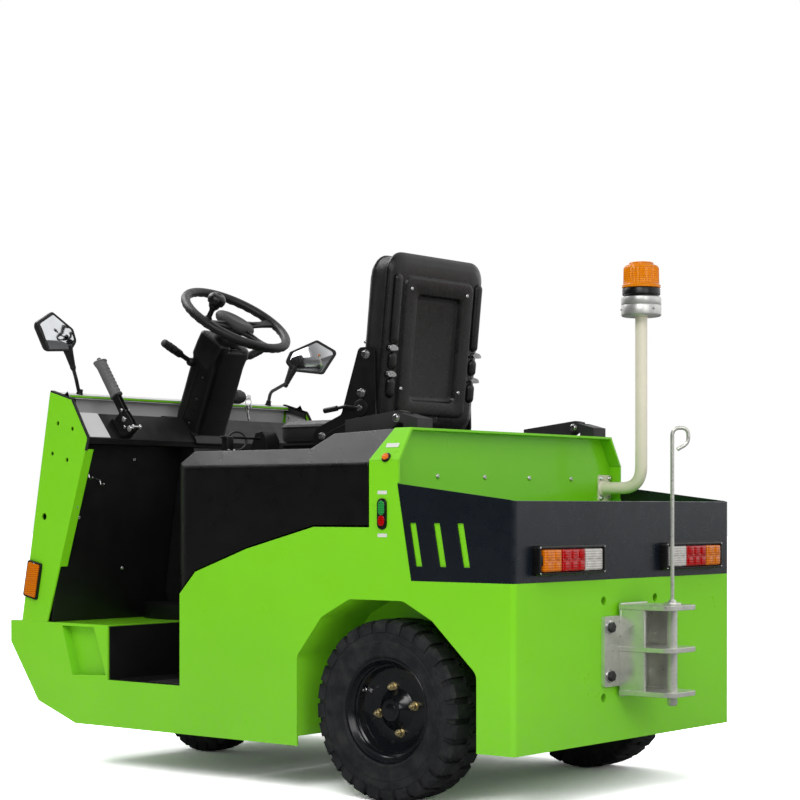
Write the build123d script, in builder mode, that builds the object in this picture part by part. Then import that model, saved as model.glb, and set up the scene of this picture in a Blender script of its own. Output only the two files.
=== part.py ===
# Airport baggage tug: a three-wheeled seated electric tow tractor.
# Units are millimetres. +X is forward, +Y is the driver's left, +Z is up.
# The origin is on the floor, midway between the nose and the tow coupling's tip.
import os
from math import atan2, cos, hypot, radians, sin

from build123d import *

os.makedirs("parts", exist_ok=True)

# Sheet, plate and the gaps between pieces
PLATE = 6.0
SHEET = 4.0
SEAM = 5.0
SEAT_GAP = 0.3
BORE_PLAY = 1.5

# Lengths along the body, forward of the rear face
BODY_WIDTH = 1000.0
FLANK_REAR = 350.0
WALL_INSET = 36.0
LID_REAR = 450.0
REAR_AXLE_AT = 404.0
BULKHEAD_AT = 1121.0
FOOTWELL_LENGTH = 281.0
NOSE_LENGTH = 416.0
COUPLING_REACH = 165.0

# Heights, stacked up from the floor
REAR_BOTTOM = 146.0
REAR_PLATE_HEIGHT = 407.0
BAND_HEIGHT = 195.0
BAND_RISE = 44.0
FLANK_RISE = 58.0
SHOULDER_RISE = 82.0
SKIRT_BOTTOM = 121.0
SKIRT_HEIGHT = 130.0
STEP_HEIGHT = 153.0

# Body details
CORNER_ROUND = 14.0
SHOULDER_IN = 50.0
ARCH_ROUND = 30.0
HOUSING_DEPTH = 190.0
TRAY_DROP = 32.0
BAND_LEAN_AT = 310.0
BAND_LEAN = 44.0
SLOT_HEIGHT = 106.0
SLOT_LOW = 36.0
SLOT_WIDTH = 20.0
SLOT_LEAN = 20.0
SLOT_STATIONS = (293.0, 219.0, 147.0)
CHIN_SETBACK = 121.0
CHIN_HEIGHT = 176.0
SKIRT_SETBACK = 281.0
LIP_DROP = 62.0

# Frame, battery and drive
RAIL_INSET = 230.0
RAIL_WIDTH = 50.0
RAIL_HEIGHT = 50.0
RAIL_BOTTOM = 275.0
RAIL_REAR = 240.0
BATTERY_LENGTH = 520.0
BATTERY_HEIGHT = 330.0
BATTERY_SETBACK = 61.0
BATTERY_GAP = 4.0
AXLE_RADIUS = 38.0
FLANGE_RADIUS = 52.0
GEAR_RADIUS = 95.0
GEAR_WIDTH = 150.0
MOTOR_RADIUS = 82.0
MOTOR_LENGTH = 190.0
MOTOR_DROP = 8.0

# Rear wheels
REAR_TYRE_RADIUS = 228.0
REAR_TYRE_WIDTH = 132.0
REAR_RIM_RADIUS = 128.0
WHEEL_INSET = 6.0
LUG_COUNT = 24
LUG_DEPTH = 9.0
LUG_REACH = 38.0

# Front wheel and fork
FRONT_WHEEL_AHEAD = 88.0
FRONT_TYRE_RADIUS = 180.0
FRONT_TYRE_WIDTH = 100.0
FRONT_RIM_RADIUS = 98.0
FORK_LEG = 14.0
FORK_GAP = 12.0
FORK_CROWN = 18.0
FORK_LENGTH = 110.0
WHEEL_GAP = 18.0
KING_PIN_RADIUS = 40.0
KING_PIN_PLAY = 0.08
HUMP_WALL = 5.0
HUMP_GAP = 13.2
BEARING_DEPTH = 20.0
BEARING_RADIUS = 62.0
CROWN_GAP = 34.0

# Wheel sections
BARREL_SHARE = 0.74
CAP_INSET = 8.0
DISC_INSET = 44.0
BARREL_WALL = 8.0

# Hood and hinges
HOOD_WALL = 6.0
HOOD_STEP = 46.0
HOOD_FALL = 8.0
HOOD_CHEST = 27.0
HOOD_BROW_ROUND = 34.0
HOOD_EDGE_ROUND = 24.0
HOOD_CORNER_ROUND = 60.0
SHOULDER_GAP = 8.0
PIVOT_AHEAD = 70.0
PIVOT_RISE = 26.0
PIVOT_RADIUS = 5.0
HINGE_INSET = 107.0
HINGE_HALF = 30.0
ARM_HALF = 14.0

# Seat
SEAT_WIDTH = 410.0
SEAT_RAIL_OUT = 150.0
SEAT_RAIL_WIDTH = 40.0
SEAT_RAIL_HEIGHT = 22.0
SEAT_PLATE = 8.0
CUSHION_LENGTH = 264.0
CUSHION_SETBACK = 71.0
CUSHION_THICK = 66.0
CUSHION_ROUND = 50.0
BACK_HEIGHT = 483.0
BACK_LEAN = 6.0
BACK_FOOT = 51.0
BACK_SETBACK = 471.0
BACK_PAD = 82.0
SHELL_THICK = 22.0
SHELL_BEVEL = 14.0
SHELL_RIB = 8.0

# Cowl, dash and column
COWL_WALL = 5.0
FLANGE_WIDTH = 25.0
COLUMN_HALF = 66.0
COLUMN_CHAMFER = 16.0
COLUMN_LEAN = 34.0
HUB_BEHIND = 14.0
HUB_RISE = 889.0
HAND_WHEEL_RADIUS = 177.0
HAND_RIM_RADIUS = 14.0
HAND_HUB_RADIUS = 30.0
STALK_LENGTH = 128.0
STALK_RADIUS = 6.0
STALK_RISE = 24.0
BRAKE_INSET = 150.0

# Mirrors and lamps
MIRROR_FOOT_INSET = 100.0
MIRROR_TIP_OUT = 150.0
MIRROR_HALF_WIDTH = 91.0
MIRROR_RISE = 824.0
MIRROR_AHEAD = (143.0, 192.0)
MIRROR_YAW = (0.0, 29.0)
HEADLAMP_INSET = 170.0
HEADLAMP_RADIUS = 72.0
LAMP_WIDTH = 284.0
LAMP_HEIGHT = 72.0
LAMP_INSET = 215.0
LAMP_RISE = 53.0

# Beacon
POLE_INSET = 48.0
POLE_AT = 252.0
POLE_RADIUS = 17.0
POLE_FOOT_DROP = 4.0
POLE_BEND = 60.0
POLE_HEIGHT = 479.0
BEACON_RADIUS = 56.0

# Tow coupling
PIN_AT = -125.0
PIN_RADIUS = 13.0
COUPLING_HALF = 65.0
COUPLING_PLATE = 12.0
COUPLING_BASE = 10.0
COUPLING_LEVELS = (268.0, 378.0, 483.0)
HOLE_RADIUS = 11.0
HOLE_OUT = 120.0
HOLE_LEVELS = (500.0, 258.0)

# Sizes that follow from the ones above
HALF = BODY_WIDTH / 2
NOSE_REAR = BULKHEAD_AT + FOOTWELL_LENGTH
BODY_LENGTH = NOSE_REAR + NOSE_LENGTH
REAR_X = (COUPLING_REACH - BODY_LENGTH) / 2
WALL_AT = FLANK_REAR + WALL_INSET
BAND_BOTTOM = REAR_BOTTOM + REAR_PLATE_HEIGHT
BAND_TOP = BAND_BOTTOM + BAND_HEIGHT
BAND_FRONT_TOP = BAND_TOP + BAND_RISE
FLANK_TOP = BAND_FRONT_TOP + FLANK_RISE
BODY_TOP = FLANK_TOP + SHOULDER_RISE
FLOOR_TOP = SKIRT_BOTTOM + SKIRT_HEIGHT
NOSE_TOP = FLOOR_TOP + STEP_HEIGHT
RAIL_TOP = RAIL_BOTTOM + RAIL_HEIGHT
RAIL_OUT = HALF - RAIL_INSET
FRONT_AXLE_AT = NOSE_REAR + FRONT_WHEEL_AHEAD
CROWN_BOTTOM = 2 * FRONT_TYRE_RADIUS + WHEEL_GAP
HUMP_TOP = CROWN_BOTTOM + FORK_CROWN + CROWN_GAP + BEARING_DEPTH
HUMP_RADIUS = hypot(FRONT_TYRE_RADIUS, FRONT_TYRE_WIDTH / 2) + HUMP_GAP + HUMP_WALL
PIVOT_AT = FLANK_REAR + PIVOT_AHEAD
PIVOT_HEIGHT = BODY_TOP + PIVOT_RISE
HINGE_OUT = HALF - HINGE_INSET
HOOD_TOP_REAR = BODY_TOP - SEAT_GAP - 1.7
HOOD_TOP_FRONT = HOOD_TOP_REAR - HOOD_STEP
REAR_WHEEL_MIDDLE = HALF - WHEEL_INSET - REAR_TYRE_WIDTH / 2
POLE_OUT = HALF - POLE_INSET
POLE_FOOT_HEIGHT = BAND_FRONT_TOP - POLE_FOOT_DROP
POLE_TOP = POLE_FOOT_HEIGHT + POLE_HEIGHT


def along(distance):
    """X of a station that is this far forward of the rear face."""
    return REAR_X + distance


def side_points(pairs):
    """Sketch points of a side view, from (station, height) pairs."""
    return [(along(station), height) for station, height in pairs]


def cowl_points(pairs):
    """Sketch points of a side view, from (distance ahead of the step, height above the nose) pairs."""
    return [(along(NOSE_REAR + ahead), NOSE_TOP + height) for ahead, height in pairs]


def rounded_plan(rear, front, inset):
    """A plan of the body between two stations, inset from its outside, with the rear corners rounded."""
    with BuildSketch() as plan:
        with Locations((along((rear + front) / 2), 0)):
            Rectangle(front - rear, BODY_WIDTH - 2 * inset)
        fillet(plan.vertices().group_by(Axis.X)[0], CORNER_ROUND - inset)
    return plan.sketch


def save(part, name):
    """Label a finished piece and write its file."""
    part.label = name
    export_step(part, f"parts/{name}.step")


# The split between the body's sides and the hood, as (station, height)
KNEE_LINE = (
    (BULKHEAD_AT, FLOOR_TOP + 254),
    (BULKHEAD_AT - 65, FLOOR_TOP + 314.5),
    (BULKHEAD_AT - 254, FLOOR_TOP + 378.5),
    (BULKHEAD_AT - 490, FLOOR_TOP + 437.5),
    (LID_REAR, FLOOR_TOP + 437.5),
)
# Body sides seen from the left, as (station, height)
SIDE_OUTLINE = (
    (0, REAR_BOTTOM),
    (LID_REAR + 200, REAR_BOTTOM),
    (LID_REAR + 200, SKIRT_BOTTOM),
    (BODY_LENGTH - SKIRT_SETBACK, SKIRT_BOTTOM),
    (BODY_LENGTH - CHIN_SETBACK, CHIN_HEIGHT),
    (BODY_LENGTH, NOSE_TOP - LIP_DROP),
    (BODY_LENGTH, NOSE_TOP),
    (NOSE_REAR, NOSE_TOP),
    (NOSE_REAR, FLOOR_TOP),
    (BULKHEAD_AT - SEAM, FLOOR_TOP),
    (BULKHEAD_AT - SEAM, KNEE_LINE[0][1] - SEAM),
    *((station, height - SEAM) for station, height in KNEE_LINE[1:-1]),
    (LID_REAR - SEAM, KNEE_LINE[-1][1] - SEAM),
    (LID_REAR - SEAM, FLANK_TOP),
    (FLANK_REAR, FLANK_TOP),
    (FLANK_REAR, BAND_FRONT_TOP + 1),
    (BAND_LEAN_AT + BAND_LEAN + 1, BAND_FRONT_TOP + 1),
    (BAND_LEAN_AT + 1, BAND_BOTTOM),
    (0, BAND_BOTTOM),
)
# Wheel arch, as (station from the rear axle, height); the top corners are rounded
ARCH_OUTLINE = (
    (REAR_AXLE_AT - 293, 0),
    (REAR_AXLE_AT - 293, REAR_TYRE_RADIUS + 107),
    (REAR_AXLE_AT - 159, REAR_TYRE_RADIUS + 229),
    (REAR_AXLE_AT - 67, REAR_TYRE_RADIUS + 275),
    (REAR_AXLE_AT + 106, REAR_TYRE_RADIUS + 275),
    (REAR_AXLE_AT + 200, REAR_TYRE_RADIUS + 227),
    (REAR_AXLE_AT + 284, REAR_TYRE_RADIUS + 124),
    (REAR_AXLE_AT + 284, 0),
)
# Step pocket in each side of the nose, as (distance ahead of the step, height below the nose top)
POCKET_OUTLINE = ((58, -8), (192, -8), (147, -146), (8, -140))
POCKET_DEPTH = 26.0

# Body shell: side plates, rear plate and rounded rear corners bent from one sheet, with step pockets
with BuildPart() as body_shell:
    with BuildSketch(Plane.XY.offset(SKIRT_BOTTOM - 1)):
        add(rounded_plan(0, BODY_LENGTH, 0))
        add(rounded_plan(PLATE, BODY_LENGTH + 1, PLATE), mode=Mode.SUBTRACT)
    extrude(amount=FLANK_TOP)
    with BuildSketch(Plane.XZ.offset(-HALF - 1)):
        Polygon(*side_points(SIDE_OUTLINE), align=None)
    extrude(amount=BODY_WIDTH + 2, mode=Mode.INTERSECT)
    with BuildSketch(Plane.XZ.offset(-HALF - 1)) as arch:
        Polygon(*side_points(ARCH_OUTLINE), align=None)
        fillet(arch.vertices().filter_by(lambda corner: corner.Y > 1), ARCH_ROUND)
    extrude(amount=BODY_WIDTH + 2, mode=Mode.SUBTRACT)
    with BuildSketch(Plane.YZ.offset(along(0))):
        with Locations(*((side * HOLE_OUT, level) for side in (1, -1) for level in HOLE_LEVELS)):
            Circle(HOLE_RADIUS)
    extrude(amount=PLATE, mode=Mode.SUBTRACT)
    for side in (1, -1):
        with BuildSketch(Plane.XZ.offset(-side * (HALF - PLATE))) as pocket_back:
            Polygon(*cowl_points(POCKET_OUTLINE), align=None)
            offset(amount=SHEET)
        extrude(amount=side * POCKET_DEPTH)
        with BuildSketch(Plane.XZ.offset(-side * HALF)):
            Polygon(*cowl_points(POCKET_OUTLINE), align=None)
        extrude(amount=side * (PLATE + POCKET_DEPTH - SHEET), mode=Mode.SUBTRACT)
save(body_shell.part, "body_shell")

# Wheel housings: the liners that follow the arches inward, open at the axle
with BuildPart() as wheel_housings:
    for side in (1, -1):
        inner_face = -side * (HALF - PLATE)
        with BuildSketch(Plane.XZ.offset(inner_face)) as outer:
            Polygon(*side_points(ARCH_OUTLINE), align=None)
            fillet(outer.vertices().filter_by(lambda corner: corner.Y > 1), ARCH_ROUND)
            offset(amount=SHEET)
        extrude(amount=side * HOUSING_DEPTH)
        with BuildSketch(Plane.XZ.offset(inner_face)) as inner:
            Polygon(*side_points(ARCH_OUTLINE), align=None)
            fillet(inner.vertices().filter_by(lambda corner: corner.Y > 1), ARCH_ROUND)
        extrude(amount=side * (HOUSING_DEPTH - SHEET), mode=Mode.SUBTRACT)
    with BuildSketch(Plane.XZ.offset(-HALF)):
        with Locations((along(REAR_AXLE_AT), REAR_TYRE_RADIUS)):
            Circle(FLANGE_RADIUS + CAP_INSET)
    extrude(amount=BODY_WIDTH, mode=Mode.SUBTRACT)
    split(bisect_by=Plane.XY.offset(REAR_BOTTOM), keep=Keep.TOP)
save(wheel_housings.part, "wheel_housings")

# Upper body: the rear wall, set in between the flanks, and the shoulders that carry the hinges
UPPER_SECTION = (
    (-HALF, FLANK_TOP),
    (HALF, FLANK_TOP),
    (HALF - SHOULDER_IN, BODY_TOP),
    (SHOULDER_IN - HALF, BODY_TOP),
)
SHOULDER_SLOPE = atan2(SHOULDER_RISE, SHOULDER_IN)
SHELL_SHIFT = PLATE / sin(SHOULDER_SLOPE)
UNDER_SECTION = (
    (SHELL_SHIFT - HALF, FLANK_TOP),
    (HALF - SHELL_SHIFT, FLANK_TOP),
    (HALF - SHOULDER_IN - PLATE * SHOULDER_RISE / hypot(SHOULDER_RISE, SHOULDER_IN), BODY_TOP - PLATE),
    (SHOULDER_IN + PLATE * SHOULDER_RISE / hypot(SHOULDER_RISE, SHOULDER_IN) - HALF, BODY_TOP - PLATE),
)
LID_SLANT = (
    (LID_REAR - 48, BODY_TOP + 1),
    (LID_REAR - SEAM, FLANK_TOP + 3),
    (LID_REAR + 40, FLANK_TOP + 3),
    (LID_REAR + 40, BODY_TOP + 1),
)
with BuildPart() as upper_body:
    with BuildSketch(Plane.YZ.offset(along(FLANK_REAR))):
        Polygon(*UPPER_SECTION, align=None)
    extrude(amount=LID_REAR - SEAM - FLANK_REAR)
    with BuildSketch(Plane.YZ.offset(along(FLANK_REAR))):
        Polygon(*UNDER_SECTION, align=None)
    extrude(amount=LID_REAR, mode=Mode.SUBTRACT)
    with BuildSketch(Plane.XZ.offset(-HALF - 1)):
        Polygon(*side_points(LID_SLANT), align=None)
    extrude(amount=BODY_WIDTH + 2, mode=Mode.SUBTRACT)
    with BuildSketch(Plane.YZ.offset(along(WALL_AT))):
        Polygon(*UNDER_SECTION, align=None)
        with Locations((0, (FLANK_TOP + BAND_BOTTOM) / 2)):
            Rectangle(BODY_WIDTH - 2 * PLATE, FLANK_TOP - BAND_BOTTOM)
    extrude(amount=PLATE)
save(upper_body.part, "upper_body")

# Deck tray inside the band: floor and low walls
TRAY_TOP = BAND_TOP - TRAY_DROP
with BuildPart() as deck_tray:
    with BuildSketch(Plane.XY.offset(BAND_BOTTOM)):
        add(rounded_plan(SHEET, FLANK_REAR, SHEET))
    extrude(amount=TRAY_TOP - BAND_BOTTOM)
    with BuildSketch(Plane.XY.offset(BAND_BOTTOM + SHEET)):
        add(rounded_plan(2 * SHEET, FLANK_REAR + 1, 2 * SHEET))
    extrude(amount=TRAY_TOP, mode=Mode.SUBTRACT)
    with BuildSketch(Plane.XZ.offset(-HALF - 1)):
        Polygon(
            *side_points(
                (
                    (BAND_LEAN_AT - 10, BAND_BOTTOM),
                    (BAND_LEAN_AT + 14, TRAY_TOP + 1),
                    (FLANK_REAR + 1, TRAY_TOP + 1),
                    (FLANK_REAR + 1, BAND_BOTTOM),
                )
            ),
            align=None,
        )
    extrude(amount=BODY_WIDTH + 2, mode=Mode.SUBTRACT)
    with BuildSketch(Plane.XY.offset(BAND_BOTTOM)):
        with Locations((along((BAND_LEAN_AT - 11 + WALL_AT) / 2), 0)):
            Rectangle(WALL_AT - BAND_LEAN_AT + 11, BODY_WIDTH - 4 * SHEET)
    extrude(amount=SHEET)
save(deck_tray.part, "deck_tray")

# Guard band round the deck, with slanted slots in each side
BAND_OUTLINE = (
    (0, BAND_BOTTOM),
    (BAND_LEAN_AT, BAND_BOTTOM),
    (BAND_LEAN_AT + BAND_LEAN, BAND_FRONT_TOP),
    (CORNER_ROUND, BAND_TOP + 3),
    (0, BAND_TOP),
)
SLOT_BOTTOM = BAND_BOTTOM + SLOT_LOW
with BuildPart() as band:
    with BuildSketch(Plane.XY.offset(BAND_BOTTOM)):
        add(rounded_plan(0, WALL_AT, 0))
        add(rounded_plan(SHEET, WALL_AT + 1, SHEET), mode=Mode.SUBTRACT)
    extrude(amount=BAND_FRONT_TOP - BAND_BOTTOM)
    with BuildSketch(Plane.XZ.offset(-HALF)):
        Polygon(*side_points(BAND_OUTLINE), align=None)
    extrude(amount=BODY_WIDTH, mode=Mode.INTERSECT)
    with BuildSketch(Plane.XZ.offset(-HALF)):
        for station in SLOT_STATIONS:
            Polygon(
                (along(station - SLOT_WIDTH + 3), SLOT_BOTTOM),
                (along(station + 3), SLOT_BOTTOM),
                (along(station + SLOT_LEAN + 3), SLOT_BOTTOM + SLOT_HEIGHT),
                (along(station + SLOT_LEAN - SLOT_WIDTH + 3), SLOT_BOTTOM + SLOT_HEIGHT),
                align=None,
            )
    extrude(amount=BODY_WIDTH, mode=Mode.SUBTRACT)
save(band.part, "band")

# Frame rails, cross members and outriggers that carry the battery and the axle
RAIL_FRONT = BULKHEAD_AT - SEAM - SHEET
CROSS_WIDTH = 40.0
with BuildPart() as frame_rails:
    with BuildSketch(Plane.XY.offset(RAIL_BOTTOM)):
        with Locations(*((along((RAIL_REAR + RAIL_FRONT) / 2), side * RAIL_OUT) for side in (1, -1))):
            Rectangle(RAIL_FRONT - RAIL_REAR, RAIL_WIDTH)
        for station in (RAIL_REAR + CROSS_WIDTH / 2, LID_REAR + 270, RAIL_FRONT - CROSS_WIDTH / 2):
            with Locations((along(station), 0)):
                Rectangle(CROSS_WIDTH, 2 * RAIL_OUT)
        for station in (LID_REAR + 350, RAIL_FRONT - 112):
            with Locations((along(station), 0)):
                Rectangle(RAIL_WIDTH, BODY_WIDTH - 2 * PLATE)
    extrude(amount=RAIL_HEIGHT)
save(frame_rails.part, "frame_rails")

# Battery, one plain block
BATTERY_FRONT = BULKHEAD_AT - BATTERY_SETBACK
with BuildPart() as battery:
    with BuildSketch(Plane.XY.offset(RAIL_TOP)):
        with Locations((along(BATTERY_FRONT - BATTERY_LENGTH / 2), 0)):
            RectangleRounded(BATTERY_LENGTH, BODY_WIDTH - 2 * (PLATE + HOUSING_DEPTH + BATTERY_GAP), 12)
    extrude(amount=BATTERY_HEIGHT)
save(battery.part, "battery")

# Drive axle: tube, gear case, spring seats, and a flange behind each rear wheel
BARREL_HALF = BARREL_SHARE * REAR_TYRE_WIDTH / 2
HUB_FACE = REAR_WHEEL_MIDDLE + BARREL_HALF - DISC_INSET - SEAT_GAP
FLANGE_DEPTH = 60.0
GEAR_NECK = 97.0
with BuildPart() as rear_axle:
    with BuildSketch(Plane.XZ.offset(-(HUB_FACE - FLANGE_DEPTH / 2))):
        with Locations((along(REAR_AXLE_AT), REAR_TYRE_RADIUS)):
            Circle(AXLE_RADIUS)
    extrude(amount=2 * HUB_FACE - FLANGE_DEPTH)
    for side in (1, -1):
        with BuildSketch(Plane.XZ.offset(-side * HUB_FACE)):
            with Locations((along(REAR_AXLE_AT), REAR_TYRE_RADIUS)):
                Circle(FLANGE_RADIUS)
        extrude(amount=side * FLANGE_DEPTH)
    with BuildSketch(Plane.XZ.offset(-GEAR_WIDTH / 2)):
        with Locations((along(REAR_AXLE_AT), REAR_TYRE_RADIUS)):
            Circle(GEAR_RADIUS)
    extrude(amount=GEAR_WIDTH)
    fillet(rear_axle.edges().filter_by(GeomType.CIRCLE).group_by(SortBy.RADIUS)[-1], 12)
    with BuildSketch(Plane.XY.offset(REAR_TYRE_RADIUS)):
        with Locations(*((along(REAR_AXLE_AT), side * RAIL_OUT) for side in (1, -1))):
            Rectangle(110, RAIL_WIDTH - 10)
    extrude(amount=RAIL_BOTTOM - REAR_TYRE_RADIUS)
    with BuildSketch(Plane.YZ.offset(along(REAR_AXLE_AT))):
        with Locations((0, REAR_TYRE_RADIUS)):
            Circle(FLANGE_RADIUS - 2)
    extrude(amount=GEAR_NECK)
save(rear_axle.part, "rear_axle")

# Drive motor, one plain block ahead of the gear case
with BuildPart() as drive_motor:
    with BuildSketch(Plane.YZ.offset(along(REAR_AXLE_AT + GEAR_NECK))):
        with Locations((0, REAR_TYRE_RADIUS - MOTOR_DROP)):
            Circle(MOTOR_RADIUS)
    extrude(amount=MOTOR_LENGTH)
    chamfer(drive_motor.edges().filter_by(GeomType.CIRCLE).sort_by(Axis.X)[-1], 10)
save(drive_motor.part, "drive_motor")


def make_tyre(station, middle, radius, rim_radius, width):
    """A cushion tyre with lugs cut into both shoulders."""
    half = width / 2
    wall = radius - rim_radius
    # Half of the section from the bead outward, as (share of the half width, radius)
    section = (
        (BARREL_SHARE, rim_radius),
        (0.97, rim_radius + 0.36 * wall),
        (1.0, radius - 0.12 * wall),
        (0.9, radius),
    )
    with BuildPart() as tyre:
        with BuildSketch(Plane(origin=(along(station), middle, radius), x_dir=(0, 1, 0), z_dir=(1, 0, 0))):
            right = [(share * half, height) for share, height in section]
            Polygon(*right, *((-out, height) for out, height in reversed(right)), align=None)
        revolve(axis=Axis((along(station), middle, radius), (0, 1, 0)))
        for side in (1, -1):
            with BuildSketch(Plane.XZ.offset(-middle - side * half)):
                with Locations((along(station), radius)):
                    with PolarLocations(radius, LUG_COUNT, start_angle=90 / LUG_COUNT * (1 + side)):
                        Rectangle(2 * LUG_DEPTH, radius * sin(radians(180 / LUG_COUNT)) * 0.8)
            extrude(amount=side * LUG_REACH * width / REAR_TYRE_WIDTH, mode=Mode.SUBTRACT)
    return tyre.part


def make_rim(station, middle, radius, rim_radius, width, side):
    """A disc wheel: barrel, dished disc and raised hub cap on its outer side."""
    half = BARREL_SHARE * width / 2
    seat_radius = rim_radius - SEAT_GAP
    section = (
        (-half, seat_radius),
        (half, seat_radius),
        (half + 8, seat_radius + 6),
        (half + 6, seat_radius - BARREL_WALL),
        (half - 12, seat_radius - BARREL_WALL - 4),
        (half - 34, rim_radius * 0.66),
        (half - 30, rim_radius * 0.42),
        (half - 14, rim_radius * 0.34),
        (half - CAP_INSET, rim_radius * 0.28),
        (half - CAP_INSET, 0),
        (half - DISC_INSET, 0),
        (half - DISC_INSET, rim_radius * 0.7),
        (half - 36, seat_radius - BARREL_WALL),
        (-half, seat_radius - BARREL_WALL),
    )
    hub_plane = Plane(origin=(along(station), middle, radius), x_dir=(0, side, 0), z_dir=(side, 0, 0))
    with BuildPart() as rim:
        with BuildSketch(hub_plane):
            Polygon(*section, align=None)
        revolve(axis=Axis((along(station), middle, radius), (0, 1, 0)))
    return rim.part


REAR_WHEEL = (REAR_TYRE_RADIUS, REAR_RIM_RADIUS, REAR_TYRE_WIDTH)
FRONT_WHEEL = (FRONT_TYRE_RADIUS, FRONT_RIM_RADIUS, FRONT_TYRE_WIDTH)
for name, side in (("left", 1), ("right", -1)):
    middle = side * REAR_WHEEL_MIDDLE
    save(make_tyre(REAR_AXLE_AT, middle, *REAR_WHEEL), f"rear_tyre_{name}")
    save(make_rim(REAR_AXLE_AT, middle, *REAR_WHEEL, side), f"rear_rim_{name}")
save(make_tyre(FRONT_AXLE_AT, 0, *FRONT_WHEEL), "front_tyre")
save(make_rim(FRONT_AXLE_AT, 0, *FRONT_WHEEL, 1), "front_rim")

# Steered fork: crown, two legs, the wheel's stub axles and the king pin
FORK_HALF = FRONT_TYRE_WIDTH / 2 + FORK_GAP
FRONT_BARREL_HALF = BARREL_SHARE * FRONT_TYRE_WIDTH / 2
with BuildPart() as fork:
    with BuildSketch(Plane.XY.offset(CROWN_BOTTOM)):
        with Locations((along(FRONT_AXLE_AT), 0)):
            RectangleRounded(FORK_LENGTH, 2 * (FORK_HALF + FORK_LEG), 10)
    extrude(amount=FORK_CROWN)
    for side in (1, -1):
        with BuildSketch(Plane.XZ.offset(-side * (FORK_HALF + FORK_LEG))) as leg:
            Polygon(
                (along(FRONT_AXLE_AT - FORK_LENGTH / 2), CROWN_BOTTOM + 1),
                (along(FRONT_AXLE_AT + FORK_LENGTH / 2), CROWN_BOTTOM + 1),
                (along(FRONT_AXLE_AT + 30), FRONT_TYRE_RADIUS - 30),
                (along(FRONT_AXLE_AT - 30), FRONT_TYRE_RADIUS - 30),
                align=None,
            )
            fillet(leg.vertices().group_by(Axis.Y)[0], 26)
        extrude(amount=side * FORK_LEG)
    with BuildSketch(Plane.XY.offset(CROWN_BOTTOM + 2)):
        with Locations((along(FRONT_AXLE_AT), 0)):
            Circle(KING_PIN_RADIUS)
    extrude(amount=HUMP_TOP - CROWN_BOTTOM + 6)
    for side, hub_face in ((1, FRONT_BARREL_HALF - CAP_INSET), (-1, FRONT_BARREL_HALF - DISC_INSET)):
        start = side * (FORK_HALF + 1)
        with BuildSketch(Plane.XZ.offset(-start)):
            with Locations((along(FRONT_AXLE_AT), FRONT_TYRE_RADIUS)):
                Circle(17)
        extrude(amount=start - hub_face - side * SEAT_GAP)
save(fork.part, "fork")

# Nose: top plate and front plates, bent from one sheet, open below for the wheel
NOSE_SKIN = (
    (NOSE_REAR, NOSE_TOP - SHEET),
    (NOSE_REAR, NOSE_TOP),
    (BODY_LENGTH, NOSE_TOP),
    (BODY_LENGTH, NOSE_TOP - LIP_DROP),
    (BODY_LENGTH - CHIN_SETBACK, CHIN_HEIGHT),
    (BODY_LENGTH - CHIN_SETBACK - 7, CHIN_HEIGHT + SHEET),
    (BODY_LENGTH - SHEET, NOSE_TOP - LIP_DROP + SHEET),
    (BODY_LENGTH - SHEET, NOSE_TOP - SHEET),
)
with BuildPart() as nose:
    with BuildSketch(Plane.XZ.offset(-(HALF - PLATE))):
        Polygon(*side_points(NOSE_SKIN), align=None)
    extrude(amount=BODY_WIDTH - 2 * PLATE)
    with BuildSketch(Plane.XY.offset(NOSE_TOP - SHEET)):
        with Locations((along(FRONT_AXLE_AT), 0)):
            Circle(HUMP_RADIUS)
    extrude(amount=SHEET, mode=Mode.SUBTRACT)
save(nose.part, "nose")

# Hump over the front wheel, a drum whose top carries the king pin's bearing
HUMP_FOOT = FLOOR_TOP - PLATE
with BuildPart() as hump:
    with BuildSketch(Plane.XY.offset(HUMP_FOOT)):
        with Locations((along(FRONT_AXLE_AT), 0)):
            Circle(HUMP_RADIUS)
    extrude(amount=HUMP_TOP - HUMP_FOOT)
    fillet(hump.edges().group_by(Axis.Z)[-1], HUMP_WALL)
    with BuildSketch(Plane.XY.offset(HUMP_FOOT)):
        with Locations((along(FRONT_AXLE_AT), 0)):
            Circle(HUMP_RADIUS - HUMP_WALL)
    extrude(amount=HUMP_TOP - HUMP_FOOT - HUMP_WALL, mode=Mode.SUBTRACT)
    with BuildSketch(Plane.XY.offset(HUMP_TOP - BEARING_DEPTH)):
        with Locations((along(FRONT_AXLE_AT), 0)):
            Circle(BEARING_RADIUS)
    extrude(amount=BEARING_DEPTH)
    with BuildSketch(Plane.XY.offset(HUMP_TOP - BEARING_DEPTH)):
        with Locations((along(FRONT_AXLE_AT), 0)):
            Circle(KING_PIN_RADIUS + KING_PIN_PLAY)
    extrude(amount=BEARING_DEPTH, mode=Mode.SUBTRACT)
save(hump.part, "hump")

# Footwell floor and the riser up to the nose, cut round the hump
with BuildPart() as floor_plate:
    with BuildSketch(Plane.XY.offset(FLOOR_TOP - PLATE)):
        with Locations((along(BULKHEAD_AT + FOOTWELL_LENGTH / 2), 0)):
            Rectangle(FOOTWELL_LENGTH, BODY_WIDTH - 2 * PLATE)
    extrude(amount=PLATE)
    with BuildSketch(Plane.YZ.offset(along(NOSE_REAR - SHEET))):
        with Locations((0, (FLOOR_TOP + NOSE_TOP - SHEET) / 2)):
            Rectangle(BODY_WIDTH - 2 * PLATE, NOSE_TOP - SHEET - FLOOR_TOP)
    extrude(amount=SHEET)
    with BuildSketch(Plane.XY.offset(FLOOR_TOP - PLATE)):
        with Locations((along(FRONT_AXLE_AT), 0)):
            Circle(HUMP_RADIUS)
    extrude(amount=NOSE_TOP, mode=Mode.SUBTRACT)
save(floor_plate.part, "floor_plate")

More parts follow.
